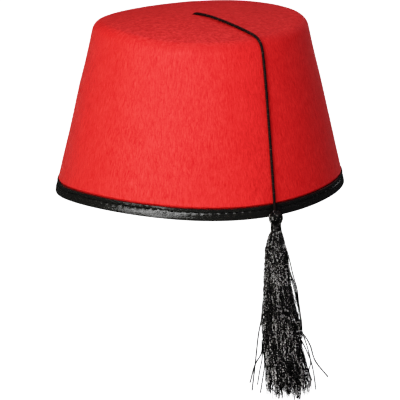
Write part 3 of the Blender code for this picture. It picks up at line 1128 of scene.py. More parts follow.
@dataclass
class RimBinding:
    """The strip folded over the felt's edge, puckered along its stitches.

    The outer leg has two puffed bands with the seam's groove between, and its upper band leans out.
    Each stitch pulls its place in by a chance weight, reaching further below the seam than above.
    """

    form: HatForm
    thickness: float = 1.0 * MM
    slot: float = 1.8 * MM
    slot_margin: float = 0.2 * MM
    outside: float = 7.45 * MM
    inside: float = 6.5 * MM
    fold_radius: float = 0.5 * MM
    fold_steps: int = 6
    fold_end: float = 0.15
    outer_rows: int = 28
    outer_top: float = 0.3 * MM
    inner_rows: int = 14
    inner_top: float = 0.4 * MM
    edge_radius: float = 0.35 * MM
    edge_corner: float = 0.12 * MM
    edge_drop: float = 0.1 * MM
    puff: float = 0.28 * MM
    puff_from: float = 0.2 * MM
    puff_fullness: float = 0.4
    upper_puff: float = 0.6
    upper_puff_fullness: float = 0.5
    lean_out: float = 0.5 * MM
    seam: float = 4.9 * MM
    seam_inside: float = 4.2 * MM
    groove: float = 0.18 * MM
    groove_width: float = 0.35 * MM
    wobble: float = 0.45 * MM
    wobble_detail: float = 9.2
    wobble_layer: float = 9.3
    wobble_reach: float = 1.7 * MM
    stitches: int = 116
    steps_per_stitch: int = 8
    pucker: float = 0.32 * MM
    pucker_weights: tuple[float, float] = (0.6, 1.3)
    pucker_width: float = 0.2
    pucker_below: float = 1.5 * MM
    pucker_above: float = 1.2 * MM
    crumple: float = 0.24 * MM
    crumple_length: float = 14.6 * MM
    crumple_height: float = 2.5 * MM
    crumple_fade: float = 1.5 * MM
    stitch_length: float = 2.8 * MM
    stitch_radius: float = 0.27 * MM
    stitch_thinning: float = 0.75
    stitch_thinnest: float = 0.05
    stitch_steps: int = 7
    stitch_sides: int = 6
    stitch_crest: float = 0.16 * MM
    stitch_sink: float = 0.42 * MM
    stitch_slant: float = 0.12 * MM

    def section(self) -> list[tuple[float, float]]:
        """The strip's closed section, from the fold up the outer leg and down the inner one.

        Returns:
            (radius, height) points.
        """
        bend, thick = self.fold_radius, self.thickness
        back = -(2.0 * thick + self.slot)
        outer_drop, inner_drop = self.outside - self.edge_drop, self.inside - self.edge_drop
        down = np.linspace(math.pi / 2.0, self.fold_end, self.fold_steps)
        up = np.linspace(self.fold_end, math.pi / 2.0, self.fold_steps)
        fold = [(bend * (math.cos(t) - 1.0), bend * (1.0 - math.sin(t))) for t in down]
        inner_fold = [(back + bend * (1.0 - math.cos(t)), bend * (1.0 - math.sin(t))) for t in up]
        outer_heights = np.linspace(bend, self.outside - self.outer_top, self.outer_rows)
        inner_heights = np.linspace(self.inside - self.inner_top, bend, self.inner_rows)
        outer = [(self._outer_face(z), z) for z in outer_heights]
        inner = [(back - self._dip(z, self.seam_inside), z) for z in inner_heights]
        edge = [(-self.edge_corner, outer_drop), (-self.edge_radius, self.outside)]
        slot = [(-thick, outer_drop), (-thick, thick)]
        slot += [(-thick - self.slot, thick), (-thick - self.slot, inner_drop)]
        inner_edge = [(back + self.edge_radius, self.inside), (back + self.edge_corner, inner_drop)]
        offsets = fold + outer + edge + slot + inner_edge + inner + inner_fold
        return [(self.form.side_radius(height) + offset, height) for offset, height in offsets]

    def _wobble(self, turn: float) -> float:
        """How far the seam strays up, by a noise read on a circle in one of its layers.

        Args:
            turn: the stitch number, counted from +X.

        Returns:
            The stray.
        """
        bearing = FULL_TURN * turn / self.stitches
        x, y = self.wobble_detail * math.cos(bearing), self.wobble_detail * math.sin(bearing)
        return self.wobble * noise.noise(Vector((x, y, self.wobble_layer)))

    def _outer_face(self, height: float) -> float:
        """How far the outer leg stands out.

        Args:
            height: the height.

        Returns:
            The offset from the side.
        """
        if height < self.seam:
            share = (height - self.puff_from) / (self.seam - self.puff_from)
            arch = math.sin(math.pi * min(max(share, 0.0), 1.0))
            swell = self.puff * arch**self.puff_fullness
        else:
            share = min((height - self.seam) / (self.outside - self.seam), 1.0)
            arch = math.sin(math.pi * share) ** self.upper_puff_fullness
            swell = self.upper_puff * self.puff * arch + self.lean_out * share
        return swell + self._dip(height, self.seam)

    def _dip(self, height: float, seam: float) -> float:
        """The stitched groove, as a negative offset."""
        return -self.groove * math.exp(-(((height - seam) / self.groove_width) ** 2))

    def build(self) -> bpy.types.Object:
        """Spin the strip, pucker it and warp it.

        Returns:
            The strip.
        """
        strip = turned("rim_binding_strip", self.section(), self.stitches * self.steps_per_stitch)
        chance = random.Random(SEED)
        weights = [chance.uniform(*self.pucker_weights) for _ in range(self.stitches)]
        for vertex in strip.data.vertices:
            vertex.co = self._puckered(vertex.co, weights)
        self.form.mark_grain(strip)
        self.form.warp(strip)
        smooth(strip)
        return strip

    def _puckered(self, point: Vector, weights: list[float]) -> Vector:
        """Move a point of the strip with the pull of the stitches and the crumple between.

        Args:
            point: the point on the turned strip.
            weights: each stitch's pull.

        Returns:
            Its place, which is the same where it is in the slot for the felt.
        """
        middle = -self.thickness - self.slot / 2.0
        offset = point.xy.length - self.form.side_radius(point.z)
        if abs(offset - middle) < self.slot / 2.0 + self.slot_margin:
            return point
        outside = offset > middle
        seam = self.seam if outside else self.seam_inside
        turn = math.atan2(point.y, point.x) % FULL_TURN / FULL_TURN * self.stitches
        near = abs(turn - round(turn))
        above = point.z - seam
        reach = self.pucker_below if point.z < seam else self.pucker_above
        pull = math.exp(-((above / reach) ** 2)) * math.exp(-((near / self.pucker_width) ** 2))
        length, height = self.crumple_length, self.crumple_height
        wander = noise.noise(Vector((point.x / length, point.y / length, point.z / height)))
        shift = self._wobble(turn) * math.exp(-((above / self.wobble_reach) ** 2))
        push = -self.pucker * weights[round(turn) % self.stitches] * pull
        push += self.crumple * wander * min(point.z / self.crumple_fade, 1.0)
        out = Vector((point.x, point.y, 0.0)).normalized()
        return point + out * (push if outside else -push) + Vector((0.0, 0.0, shift))

    def build_stitches(self) -> bpy.types.Object:
        """Lay a thread over every gap between holes, on both legs.

        Returns:
            The stitches as one object.
        """
        inner_groove = self.groove - (2.0 * self.thickness + self.slot)
        legs = (
            (self.seam, self._outer_face(self.seam), 1.0),
            (self.seam_inside, inner_groove, -1.0),
        )
        paths = [self._stitch(number, *leg) for leg in legs for number in range(self.stitches)]
        share = np.linspace(-1.0, 1.0, self.stitch_steps)
        thin = np.maximum(1.0 - self.stitch_thinning * share**2, self.stitch_thinnest)
        outline = round_outline(self.stitch_radius * np.sqrt(thin), self.stitch_sides)
        piece = tubes("rim_stitches", paths, [outline] * len(paths))
        smooth(piece)
        return piece

    def _stitch(self, number: int, height: float, offset: float, side: float) -> np.ndarray:
        """The path of one stitch.

        Args:
            number: which stitch, counted from +X.
            height: the seam's height.
            offset: the groove's face, from the side.
            side: 1 outside and -1 inside.

        Returns:
            The path.
        """
        radius = self.form.side_radius(height) + offset
        half = self.stitch_length / 2.0 / radius
        middle = number + 0.5
        points = []
        for step in range(self.stitch_steps):
            share = 2.0 * step / (self.stitch_steps - 1) - 1.0
            bearing = FULL_TURN * middle / self.stitches + half * share
            out = radius + side * (self.stitch_crest - self.stitch_sink * share**2)
            rise = height + self.stitch_slant * share + self._wobble(middle)
            place = Vector((out * math.cos(bearing), out * math.sin(bearing), rise))
            points.append(self.form.warped(place))
        return np.array(points)

    def dress(self, strip: bpy.types.Object, stitches: bpy.types.Object) -> None:
        """Dress the strip and its stitches."""
        finish_piece(strip, PolishedBinding().dress(), "binding", "rim_binding")
        finish_piece(stitches, YarnKind.STITCH.value.dress(), "cord")


@dataclass(frozen=True)
class SkirtStation:
    """The skirt's outline at a drop below the ball's middle."""

    drop: float
    drift: float
    half_width: float


@dataclass(frozen=True)
class ThreadHang:
    """How chance hangs a thread of the skirt.

    Bearings are in radians from the right, and a spread is a share of the skirt's half width. Many
    threads are moved from the two sides to the front or back, so that those left there show singly.
    Further down, a thread is drawn to its lock and sways. A wave's length is given for one radian.
    """

    next_bearing: float = 0.61803
    least_spread: float = 0.62
    spread_range: float = 0.38
    spread_power: float = 0.6
    inner_spread: float = 0.6
    inner_power: float = 0.5
    side_sine: float = 0.68
    moved_right: float = 0.6
    moved_left: float = 0.35
    moved_by: float = 0.9
    right_cosine: float = 0.6
    right_spread: tuple[float, float] = (0.75, 1.1)
    end_mm: tuple[float, float] = (112.6, 2.2)
    shortest_mm: float = 103.0
    longest_mm: float = 117.3
    lowest: float = 117.6 * MM
    lock_shift: float = 0.35
    lock_shift_step: float = 2.3
    lock_stagger: float = 3.2 * MM
    lock_stagger_step: float = 4.1
    lock_pull: tuple[float, float] = (0.3, 0.85)
    lock_power: float = 1.6
    start: float = 6.6 * MM
    inner_start: float = 70.0 * MM
    loose_from: float = 8.0 * MM
    loose_over: float = 100.0 * MM
    swing: float = 0.12
    curl: float = 0.10
    curl_length: float = 9.0 * MM
    ripple: float = 0.05
    ripple_length: float = 6.0 * MM
    tucked: float = 0.13
    share_untucked: float = 0.22
    untucked: tuple[float, float] = (-0.05, 0.12)
    tuck_drop: float = 60.0 * MM
    tuck_reach: float = 22.0 * MM
    wave: float = 0.28 * MM
    wave_at_top: float = 0.3
    wave_growth: float = 4.0
    wave_fade: float = 0.45
    wave_length_mm: tuple[float, float] = (0.6, 1.1)


@dataclass(frozen=True)
class BallWinding:
    """The ball's threads: winds both ways from near its top down to the neck, and small loops."""

    winds: int = 26
    wind_steps: int = 30
    from_top_deg: float = 24.0
    span_deg: float = 128.0
    sweep: float = 1.15
    lower_layer: float = 0.95
    stretch_below: float = 1.22
    off_neck: float = 0.15 * MM
    loops: int = 9
    loop_steps: int = 12
    loop_bearing: float = 0.4
    loop_sweep: float = 1.1
    loop_radius: float = 1.9 * MM
    loop_height: float = 2.5 * MM
    loop_reach_mm: tuple[float, ...] = (0.9, 1.4)
    loop_rise_mm: tuple[float, ...] = (0.7, 1.1, 1.5)
    thread_radius: float = 0.28 * MM
    thread_sides: int = 5


@dataclass
class Tassel:
    """Ball, neck and skirt of single threads, round a dense heart.

    Ranges are for chance to draw from. Shares are of the piece's own radius or half width.
    """

    centre: Vector = BALL_CENTRE
    ball_radius: float = 4.25 * MM
    ball_squash: float = 0.85
    neck_radius: float = 2.85 * MM
    neck_top: float = 4.3 * MM
    neck_bottom: float = 7.0 * MM
    depth: float = 0.85
    hang: ThreadHang = ThreadHang()
    winding: BallWinding = BallWinding()
    threads: int = 470
    inner_threads: int = 90
    threads_in_piece: int = 130
    thread_radius: float = 0.225 * MM
    thread_step: float = 0.55 * MM
    thread_sides: int = 3
    thread_twist: float = 3.7 * MM
    twist_range: tuple[float, float] = (0.8, 1.25)
    radius_range: tuple[float, float] = (0.8, 1.15)
    beading: float = 0.2
    bead_pitch: float = 0.37
    stray_radius: float = 0.5 * MM
    locks: int = 17
    heart_top_mm: tuple[float, ...] = (-2.9, -2.7, -2.2, -1.4, 0.0, 1.4, 2.4, 3.3)
    heart_neck_mm: float = 5.0
    heart_end: float = 101.0 * MM
    heart_step: float = 2.0 * MM
    heart_in_ball: float = 0.88
    heart_in_neck: float = 0.85
    heart_under_wrap: float = 0.9
    heart_least: float = 0.5 * MM
    heart_share: float = 0.68
    heart_thinning: float = 0.2
    heart_thins_from: float = 50.0 * MM
    heart_thins_over: float = 45.0 * MM
    heart_tip: tuple[float, ...] = (0.95, 0.85, 0.65, 0.3)
    heart_sides: int = 40
    heart_flutes: tuple[Triple, ...] = ((0.05, 7.0, 0.0), (0.04, 13.0, 1.0))
    wrap_turns: float = 7.4
    wrap_pitch: float = 0.52 * MM
    wrap_steps: int = 260
    wrap_radius: float = 0.3 * MM
    wrap_sides: int = 6
    wrap_off_neck: float = 0.2 * MM
    end_bearing_deg: float = -112.0
    end_sweep: float = 0.55
    end_length: float = 4.0 * MM
    end_off_wrap: float = 0.35 * MM
    end_steps: int = 14

    def stations(self) -> list[SkirtStation]:
        """The skirt's outline.

        Returns:
            Its stations, from the neck down.
        """
        rows = (
            (7.0, 0.1, 3.0), (8.7, 0.1, 3.15), (12.6, -0.2, 4.6), (21.0, -0.4, 6.3),
            (30.7, 0.2, 7.2), (47.0, 1.0, 9.1), (57.0, 2.3, 10.3), (66.9, 3.0, 12.0),
            (86.8, 3.7, 12.2), (100.0, 6.0, 12.9), (107.0, 7.0, 13.7), (120.0, 7.0, 13.2),
        )
        return [SkirtStation(*(value * MM for value in row)) for row in rows]

    def strays(self) -> list[np.ndarray]:
        """The threads that stand off the skirt in the photograph.

        Returns:
            For each, its points from the ball's middle.
        """
        rows = (
            ((-8.3, -1, 53.6), (-9.7, -1, 66.8), (-11.3, -1, 75.4), (-13.3, 0, 93.4),
             (-15.7, 1, 114.3)),
            ((-9.1, 0, 80.1), (-9.9, 1, 90.1), (-13.0, 1, 95.5), (-17.0, 2, 109.5)),
            ((-8.5, 1, 83.5), (-9.2, 2, 93.5), (-10.9, 3, 102.9), (-12.2, 4, 111.7)),
            ((-7.9, -3, 86.8), (-8.0, -4, 96.9), (-9.3, -4, 105.6), (-10.7, -5, 113.7)),
            ((6.7, -3, 57.2), (11.6, -3, 70.5), (16.6, -2, 75.9), (21.0, -1, 84.0),
             (23.5, -1, 92.8), (32.3, 0, 105.7)),
            ((14.1, 1, 67.2), (16.6, 1, 77.3), (19.7, 2, 87.3), (21.3, 2, 97.4),
             (20.4, 3, 102.1), (22.2, 3, 108.9)),
            ((15.5, -2, 80.0), (18.6, -2, 87.0), (21.4, -2, 94.1), (22.9, -3, 100.8),
             (24.4, -3, 113.0)),
            ((5.0, -1, 16.0), (6.6, 0, 21.0), (8.4, 0, 28.0), (10.2, 0, 36.4),
             (12.8, 0, 46.4), (14.0, 0, 56.1), (14.8, 0, 63.0), (15.2, 0, 74.0)),
            ((4.4, -2, 16.5), (6.9, -2, 25.0), (8.0, -2, 33.0), (11.2, -2, 43.0),
             (12.9, -2, 52.0), (14.6, -2, 61.0), (15.0, -2, 70.0)),
            ((4.8, 1, 18.0), (7.2, 2, 29.0), (9.4, 2, 40.0), (11.7, 2, 50.0),
             (13.4, 1, 58.0), (15.6, 1, 68.0), (16.0, 1, 80.0)),
        )
        return [np.array([(x, depth, -drop) for x, depth, drop in row]) * MM for row in rows]

    def _outline(self, drops: np.ndarray) -> tuple[np.ndarray, np.ndarray]:
        """The skirt's outline at some drops.

        Args:
            drops: the drops below the ball's middle.

        Returns:
            Its drift to the right, and its half width.
        """
        table = self.stations()
        known = [station.drop for station in table]
        drift = np.interp(drops, known, [station.drift for station in table])
        half_width = np.interp(drops, known, [station.half_width for station in table])
        return drift, half_width

    def build(self) -> list[bpy.types.Object]:
        """Model the tassel.

        Returns:
            The heart, the ball, the neck's wrap, the skirt's threads in pieces, and the strays.
        """
        pieces = [self._heart(), self._ball(), self._neck_wrap()]
        chance = random.Random(SEED)
        paths = [self._thread(chance, number) for number in range(self.threads)]
        paths += [self._thread(chance, number, inner=True) for number in range(self.inner_threads)]
        for start in range(0, len(paths), self.threads_in_piece):
            name = f"tassel_threads_{start // self.threads_in_piece + 1}"
            some = paths[start : start + self.threads_in_piece]
            pieces.append(self._spun(name, some, chance, self.thread_radius))
        strays = [self._stray(route) for route in self.strays()]
        pieces.append(self._spun("tassel_stray_threads", strays, chance, self.stray_radius))
        return pieces

    def _spun(
        self, name: str, paths: list[np.ndarray], chance: random.Random, radius: float
    ) -> bpy.types.Object:
        """Threads of flat-sided, twisted yarn.

        Args:
            name: the new object's name.
            paths: the threads' paths.
            chance: the source of random numbers.
            radius: the threads' radius.

        Returns:
            The threads as one object.
        """
        outlines = []
        for path in paths:
            along = np.arange(len(path)) * self.thread_step
            pitch = self.thread_twist * chance.uniform(*self.twist_range)
            twist = FULL_TURN * (along / pitch + chance.random())
            radii = np.full(len(path), radius * chance.uniform(*self.radius_range))
            radii *= 1.0 + self.beading * np.sin(FULL_TURN * along / (self.bead_pitch * pitch))
            outlines.append(round_outline(radii, self.thread_sides, twist))
        return tubes(name, paths, outlines)

    def _root(self, chance: random.Random, number: int, inner: bool) -> tuple[float, float]:
        """Where a thread of the skirt starts.

        Args:
            chance: the source of random numbers.
            number: which thread, which gives its first bearing.
            inner: whether it is inside the others.

        Returns:
            Its bearing and its spread.
        """
        hang = self.hang
        bearing = FULL_TURN * (number * hang.next_bearing % 1.0)
        sine, cosine = math.sin(bearing), math.cos(bearing)
        spread = hang.least_spread + hang.spread_range * chance.random() ** hang.spread_power
        moved = hang.moved_right if cosine > 0.0 else hang.moved_left
        if inner:
            spread = hang.inner_spread * chance.random() ** hang.inner_power
        elif abs(sine) < hang.side_sine and chance.random() < moved:
            bearing += hang.moved_by if sine * cosine > 0.0 else -hang.moved_by
        elif cosine > hang.right_cosine:
            spread = chance.uniform(*hang.right_spread)
        return bearing, spread

    def _tip(self, chance: random.Random, bearing: float) -> tuple[float, float]:
        """Where a thread of the skirt ends. The locks are uneven in bearing and in length.

        Args:
            chance: the source of random numbers.
            bearing: the thread's bearing at its start.

        Returns:
            The bearing of its lock, and its drop.
        """
        hang = self.hang
        end = min(max(chance.gauss(*hang.end_mm), hang.shortest_mm), hang.longest_mm) * MM
        nearest = round(bearing / FULL_TURN * self.locks) % self.locks
        shift = hang.lock_shift * math.sin(hang.lock_shift_step * nearest)
        lock = (nearest + shift) / self.locks * FULL_TURN
        lock += FULL_TURN * round((bearing - lock) / FULL_TURN)
        end += hang.lock_stagger * math.sin(hang.lock_stagger_step * nearest)
        return lock, min(end, hang.lowest)

    def _thread(self, chance: random.Random, number: int, inner: bool = False) -> np.ndarray:
        """The path of one thread of the skirt.

        Args:
            chance: the source of random numbers.
            number: which thread.
            inner: whether it is one of those that show only at the bottom, inside the others.

        Returns:
            The path, from under the wrap to the tip, or from inside the heart where it is inner.
        """
        hang = self.hang
        bearing, spread = self._root(chance, number, inner)
        lock, end = self._tip(chance, bearing)
        pull = chance.uniform(*hang.lock_pull)
        swing, curl, ripple, wave_x, wave_y, _ = (chance.uniform(0.0, FULL_TURN) for _ in range(6))
        drops = np.arange(hang.inner_start if inner else hang.start, end, self.thread_step)
        share = np.clip((drops - hang.loose_from) / hang.loose_over, 0.0, 1.0)
        turn = bearing + (lock - bearing) * pull * share**hang.lock_power
        turn = turn + hang.swing * share * math.sin(swing)
        turn = turn + hang.curl * np.sin(drops / hang.curl_length + curl) * share
        drift, half_width = self._outline(drops)
        out = half_width * (spread + hang.ripple * np.sin(drops / hang.ripple_length + ripple))
        untucked = chance.random() <= hang.share_untucked
        tuck = chance.uniform(*hang.untucked) if untucked else hang.tucked
        right = np.clip(np.cos(turn), 0.0, 1.0)
        out *= 1.0 - tuck * right * np.exp(-(((drops - hang.tuck_drop) / hang.tuck_reach) ** 2))
        grown = np.clip(hang.wave_at_top + hang.wave_growth * share, 0.0, 1.0)
        wave = hang.wave * grown * (1.0 - hang.wave_fade * share)
        length = chance.uniform(*hang.wave_length_mm) * MM
        x = drift + out * np.cos(turn) + wave * np.sin(drops / length + wave_x)
        y = out * self.depth * np.sin(turn) + wave * np.cos(drops / length + wave_y)
        return np.stack([x, y, -drops], axis=1) + np.array(self.centre)

    def _stray(self, route: np.ndarray) -> np.ndarray:
        """The path of a thread that stands off the skirt."""
        return resampled(route + np.array(self.centre), self.thread_step)

    def _heart(self) -> bpy.types.Object:
        """Model the dense heart of the ball, the neck and the skirt.

        Returns:
            The heart.
        """
        ball = np.array(self.heart_top_mm) * MM
        neck = np.array([self.heart_neck_mm]) * MM
        below = np.arange(self.neck_bottom, self.heart_end, self.heart_step)
        drops = np.concatenate([ball, neck, below])
        drift, half_width = self._outline(drops)
        thins = np.clip((drops - self.heart_thins_from) / self.heart_thins_over, 0.0, 1.0)
        wide = half_width * (self.heart_share - self.heart_thinning * thins)
        wide = np.maximum(wide, self.heart_in_neck * self.neck_radius)
        wide[-len(self.heart_tip) :] *= np.array(self.heart_tip)
        reach = (self.heart_in_ball * self.ball_radius) ** 2 - (ball / self.ball_squash) ** 2
        bulb = np.sqrt(np.maximum(reach, self.heart_least**2))
        least = np.where(ball > 0.0, self.heart_under_wrap * self.neck_radius, 0.0)
        wide[: len(ball)] = np.maximum(bulb, least)
        turns = np.arange(self.heart_sides) * FULL_TURN / self.heart_sides
        flutes = np.ones(self.heart_sides)
        for depth, count, start in self.heart_flutes:
            flutes = flutes + depth * np.sin(count * turns + start)
        path = np.stack([drift, np.zeros_like(drift), -drops], axis=1) + np.array(self.centre)
        across = wide[:, None] * flutes[None, :]
        thick = np.where(drops < self.neck_bottom, 1.0, self.depth)[:, None]
        outline = np.stack([across * np.cos(turns), across * thick * np.sin(turns)], axis=-1)
        piece = self._stacked("tassel_heart", path, outline)
        smooth(piece, 80.0)
        return piece

    def _stacked(self, name: str, path: np.ndarray, outline: np.ndarray) -> bpy.types.Object:
        """A body of level rings, extruded down a path.

        Args:
            name: the new object's name.
            path: the rings' middles.
            outline: an array of (ring, side, 2) offsets along X and Y.

        Returns:
            The body.
        """
        deselect()
        sides = outline.shape[1]
        bpy.ops.mesh.primitive_circle_add(vertices=sides, radius=1.0, fill_type="NGON")
        piece = bpy.context.object
        piece.name = piece.data.name = name
        bpy.ops.object.mode_set(mode="EDIT")
        for _ in range(len(path) - 1):
            bpy.ops.mesh.extrude_region_move(TRANSFORM_OT_translate={"value": (0, 0, -1.0)})
        bpy.ops.object.mode_set(mode="OBJECT")
        level_outline = np.concatenate([outline, np.zeros((*outline.shape[:2], 1))], axis=2)
        rings = level_outline + path[:, None, :]
        for vertex in piece.data.vertices:
            level = round(-vertex.co.z)
            side = round(math.atan2(vertex.co.y, vertex.co.x) / FULL_TURN * sides) % sides
            vertex.co = rings[level][side]
        work_on(piece)
        bpy.ops.object.mode_set(mode="EDIT")
        bpy.ops.mesh.select_all(action="SELECT")
        bpy.ops.mesh.normals_make_consistent(inside=False)
        bpy.ops.object.mode_set(mode="OBJECT")
        return piece

    def _ball(self) -> bpy.types.Object:
        """Model the ball of wound threads, with small loops on its top.

        Returns:
            The ball's threads as one object.
        """
        winding = self.winding
        paths = [self._wind(wind, side) for side in (-1.0, 1.0) for wind in range(winding.winds)]
        paths += [self._loop(number) for number in range(winding.loops)]
        paths = [path + np.array(self.centre) for path in paths]
        return self._cords("tassel_ball", paths, winding.thread_radius, winding.thread_sides)

    def _wind(self, wind: int, side: float) -> np.ndarray:
        """The path of one thread over the ball.

        Args:
            wind: which thread of its layer.
            side: 1 for the outer layer and -1 for the lower one, which sweeps the other way.

        Returns:
            The path, from the ball's middle.
        """
        winding = self.winding
        share = np.linspace(0.0, 1.0, winding.wind_steps)
        dip = math.radians(winding.from_top_deg) + share * math.radians(winding.span_deg)
        radius = self.ball_radius * (1.0 if side > 0 else winding.lower_layer)
        turn = FULL_TURN * wind / winding.winds + side * winding.sweep * share
        below = dip > 0.5 * math.pi
        out = radius * np.sin(dip)
        out = np.where(below, np.maximum(out, self.neck_radius + winding.off_neck), out)
        height = np.where(below, winding.stretch_below, self.ball_squash) * radius * np.cos(dip)
        return round_path(out, turn, height)

    def _loop(self, number: int) -> np.ndarray:
        """The path of one small loop on the ball's top.

        Args:
            number: which loop, which picks its reach and its rise in turn.

        Returns:
            The path, from the ball's middle.
        """
        winding = self.winding
        turn = FULL_TURN * number / winding.loops + winding.loop_bearing
        share = np.linspace(0.0, math.pi, winding.loop_steps)
        reach = winding.loop_reach_mm[number % len(winding.loop_reach_mm)] * MM
        rise = winding.loop_rise_mm[number % len(winding.loop_rise_mm)] * MM
        out = winding.loop_radius + reach * np.sin(share)
        height = winding.loop_height + rise * np.sin(share)
        return round_path(out, turn + winding.loop_sweep * (share / math.pi - 0.5), height)

    def _neck_wrap(self) -> bpy.types.Object:
        """Model the thread wound round the neck, and its end laid across the turns.

        Returns:
            Both as one object.
        """
        turn = np.linspace(0.0, FULL_TURN * self.wrap_turns, self.wrap_steps)
        radius = self.neck_radius + self.wrap_off_neck
        wound = round_path(radius, turn, -self.neck_top - self.wrap_pitch * turn / FULL_TURN)
        share = np.linspace(0.0, 1.0, self.end_steps)
        bearing = math.radians(self.end_bearing_deg) + self.end_sweep * (1.0 - share)
        drop = -self.neck_top - self.end_length * share
        end = round_path(radius + self.end_off_wrap, bearing, drop)
        paths = [path + np.array(self.centre) for path in (wound, end)]
        return self._cords("neck_wrap_wound", paths, self.wrap_radius, self.wrap_sides)

    def _cords(
        self, name: str, paths: list[np.ndarray], radius: float, sides: int
    ) -> bpy.types.Object:
        """Smooth round threads along paths.

        Args:
            name: the new object's name.
            paths: the threads' paths.
            radius: their radius.
            sides: the number of corners of their outline.

        Returns:
            The threads as one object.
        """
        outlines = [round_outline(np.full(len(path), radius), sides) for path in paths]
        piece = tubes(name, paths, outlines)
        smooth(piece, 80.0)
        return piece

    def dress(self, pieces: list[bpy.types.Object]) -> None:
        """Dress the tassel: bright painted glints on the skirt, duller ones on the wound threads, and
        faint ones on the strays and heart.

        Args:
            pieces: the tassel's pieces.
        """
        # The three finishes differ in how strong their painted glints are.
        bright_painted_glints = YarnKind.RAYON.value.dress()
        faint_painted_glints = YarnKind.LOOSE.value.dress()
        wound = YarnKind.WOUND.value.dress()
        others = {
            "tassel_heart": faint_painted_glints,
            "tassel_stray_threads": faint_painted_glints,
            "tassel_ball": wound,
            "neck_wrap_wound": wound,
        }
        for piece in pieces:
            node = "neck_wrap" if piece.name.startswith("neck_wrap") else "tassel"
            finish_piece(piece, others.get(piece.name, bright_painted_glints), "tassel_thread", node)


# ---------------------------------------------------------------- studio


@dataclass(frozen=True)
class SoftLight:
    """A soft box that faces the hat: where it stands, its size, and its power in watts.

    The azimuth is counted from the camera's side towards the right. A light that isn't reflected
    lights the hat without showing in its glossy pieces.
    """

    name: str
    azimuth_deg: float
    elevation_deg: float
    distance: float
    width: float
    height: float
    watts: float
    reflected: bool = True
    tint: Triple = (1.0, 1.0, 1.0)


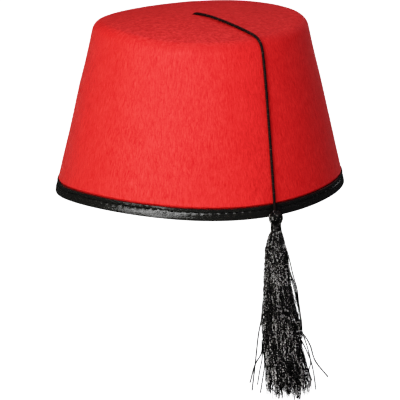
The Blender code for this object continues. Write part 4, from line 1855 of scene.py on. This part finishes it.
@dataclass
class Studio:
    """Pale floor, soft lights and the camera.

    The floor is far below the hat and fades into the white beyond. The tones are the contrast
    curve's points, as scene and picture levels.
    """

    camera_place: Vector = Vector((0.0, -1.26534, 0.35183))
    camera_aim: Vector = Vector((0.0, 0.0, -0.01388))
    camera_roll_deg: float = -1.0
    lens: float = 179.24
    sensor: float = 36.0
    nearest: float = 0.05
    lights: tuple[SoftLight, ...] = (
        SoftLight("key left", -42.0, 12.0, 1.2, 0.62, 0.42, 5.3),
        SoftLight("key front", -14.0, -10.0, 1.2, 0.35, 0.2, 4.3, False),
        SoftLight("key high", -20.0, 31.0, 0.5, 0.22, 0.16, 0.92),
        SoftLight("fill low", 15.0, -20.0, 1.1, 0.4, 0.3, 0.9, False),
        SoftLight("fill right", 60.0, 45.0, 1.5, 0.6, 0.6, 3.5, False, (1.0, 0.85, 1.4)),
        SoftLight("fill top", 0.0, 65.0, 1.5, 0.6, 0.6, 2.9),
        SoftLight("back", 180.0, 57.0, 1.5, 0.6, 0.6, 3.8),
        SoftLight("back right", 140.0, 24.0, 1.5, 0.6, 0.6, 2.2),
        SoftLight("back left", -140.0, 20.0, 1.5, 0.6, 0.6, 1.8, False),
    )
    lights_aim: float = 0.05
    sky_strength: float = 0.05
    floor_height: float = -0.48
    floor_size: float = 24.0
    white_level: float = 1.6
    tones: Stops = (
        (0.012, 0.003), (0.027, 0.0097), (0.046, 0.0273), (0.060, 0.0513), (0.070, 0.070),
        (0.12, 0.122), (0.45, 0.468), (0.77, 0.77), (1.0, 0.880), (1.15, 0.922),
    )

    def build(self) -> None:
        """Set up the studio."""
        self._camera()
        self._floor()
        for light in self.lights:
            self._light(light)
        self._sky()
        self._print_tones()

    def _camera(self) -> None:
        """Aim the camera as the photograph was taken."""
        data = bpy.data.cameras.new("camera")
        data.lens = self.lens
        data.sensor_width = self.sensor
        data.clip_start = self.nearest
        camera = bpy.data.objects.new("camera", data)
        bpy.context.scene.collection.objects.link(camera)
        camera.location = self.camera_place
        look = (self.camera_aim - self.camera_place).to_track_quat("-Z", "Y").to_matrix()
        roll = Matrix.Rotation(math.radians(self.camera_roll_deg), 3, "Z")
        camera.rotation_euler = (look @ roll).to_euler()
        bpy.context.scene.camera = camera

    def _floor(self) -> None:
        """Lay a wide pale floor, which isn't seen in the glossy pieces."""
        deselect()
        place = (0.0, 0.0, self.floor_height)
        bpy.ops.mesh.primitive_plane_add(size=self.floor_size, location=place)
        floor = bpy.context.object
        floor.name = "studio_floor"
        floor.data.materials.append(Paper().dress())
        floor.visible_glossy = False

    def _light(self, light: SoftLight) -> None:
        """Place one soft box.

        Args:
            light: the soft box.
        """
        data = bpy.data.lights.new(light.name, "AREA")
        data.shape = "RECTANGLE"
        data.size = light.width
        data.size_y = light.height
        data.energy = light.watts
        data.color = light.tint
        lamp = bpy.data.objects.new(light.name, data)
        lamp.visible_camera = False
        lamp.visible_glossy = light.reflected
        bpy.context.scene.collection.objects.link(lamp)
        azimuth, elevation = math.radians(light.azimuth_deg), math.radians(light.elevation_deg)
        level = light.distance * math.cos(elevation)
        rise = self.lights_aim + light.distance * math.sin(elevation)
        lamp.location = (level * math.sin(azimuth), -level * math.cos(azimuth), rise)
        towards = Vector((0.0, 0.0, self.lights_aim)) - lamp.location
        lamp.rotation_euler = towards.to_track_quat("-Z", "Y").to_euler()

    def _sky(self) -> None:
        """Light everything faintly from all round."""
        world = bpy.data.worlds.new("studio")
        world.use_nodes = True
        background = world.node_tree.nodes["Background"]
        background.inputs["Color"].default_value = (1.0, 1.0, 1.0, 1.0)
        background.inputs["Strength"].default_value = self.sky_strength
        bpy.context.scene.world = world

    def _print_tones(self) -> None:
        """Show the picture with the deep blacks of a contrasty print."""
        view = bpy.context.scene.view_settings
        view.view_transform = "Standard"
        view.look = "None"
        view.use_curve_mapping = True
        curve = view.curve_mapping.curves[3]
        for place, level in self.tones:
            curve.points.new(place / self.white_level, level)
        for point in curve.points:
            point.handle_type = "VECTOR"
        view.curve_mapping.white_level = (self.white_level,) * 3
        view.curve_mapping.update()


def main() -> None:
    """Build the hat round its frame."""
    logging.basicConfig(level=logging.INFO, format="%(message)s", stream=sys.stdout)
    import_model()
    Studio().build()

    form = HatForm()
    cord = HangingCord(form)
    cord_piece, line = cord.build()
    cord.dress(cord_piece)

    knot = CordKnot(form)
    knot_piece = knot.build()
    knot.dress(knot_piece)

    tassel = Tassel()
    tassel_pieces = tassel.build()
    tassel.dress(tassel_pieces)
    cord.declare(line)

    crown = Crown(form)
    crown.dress(crown.build(line))

    binding = RimBinding(form)
    binding.dress(binding.build(), binding.build_stitches())


if __name__ == "__main__":
    main()
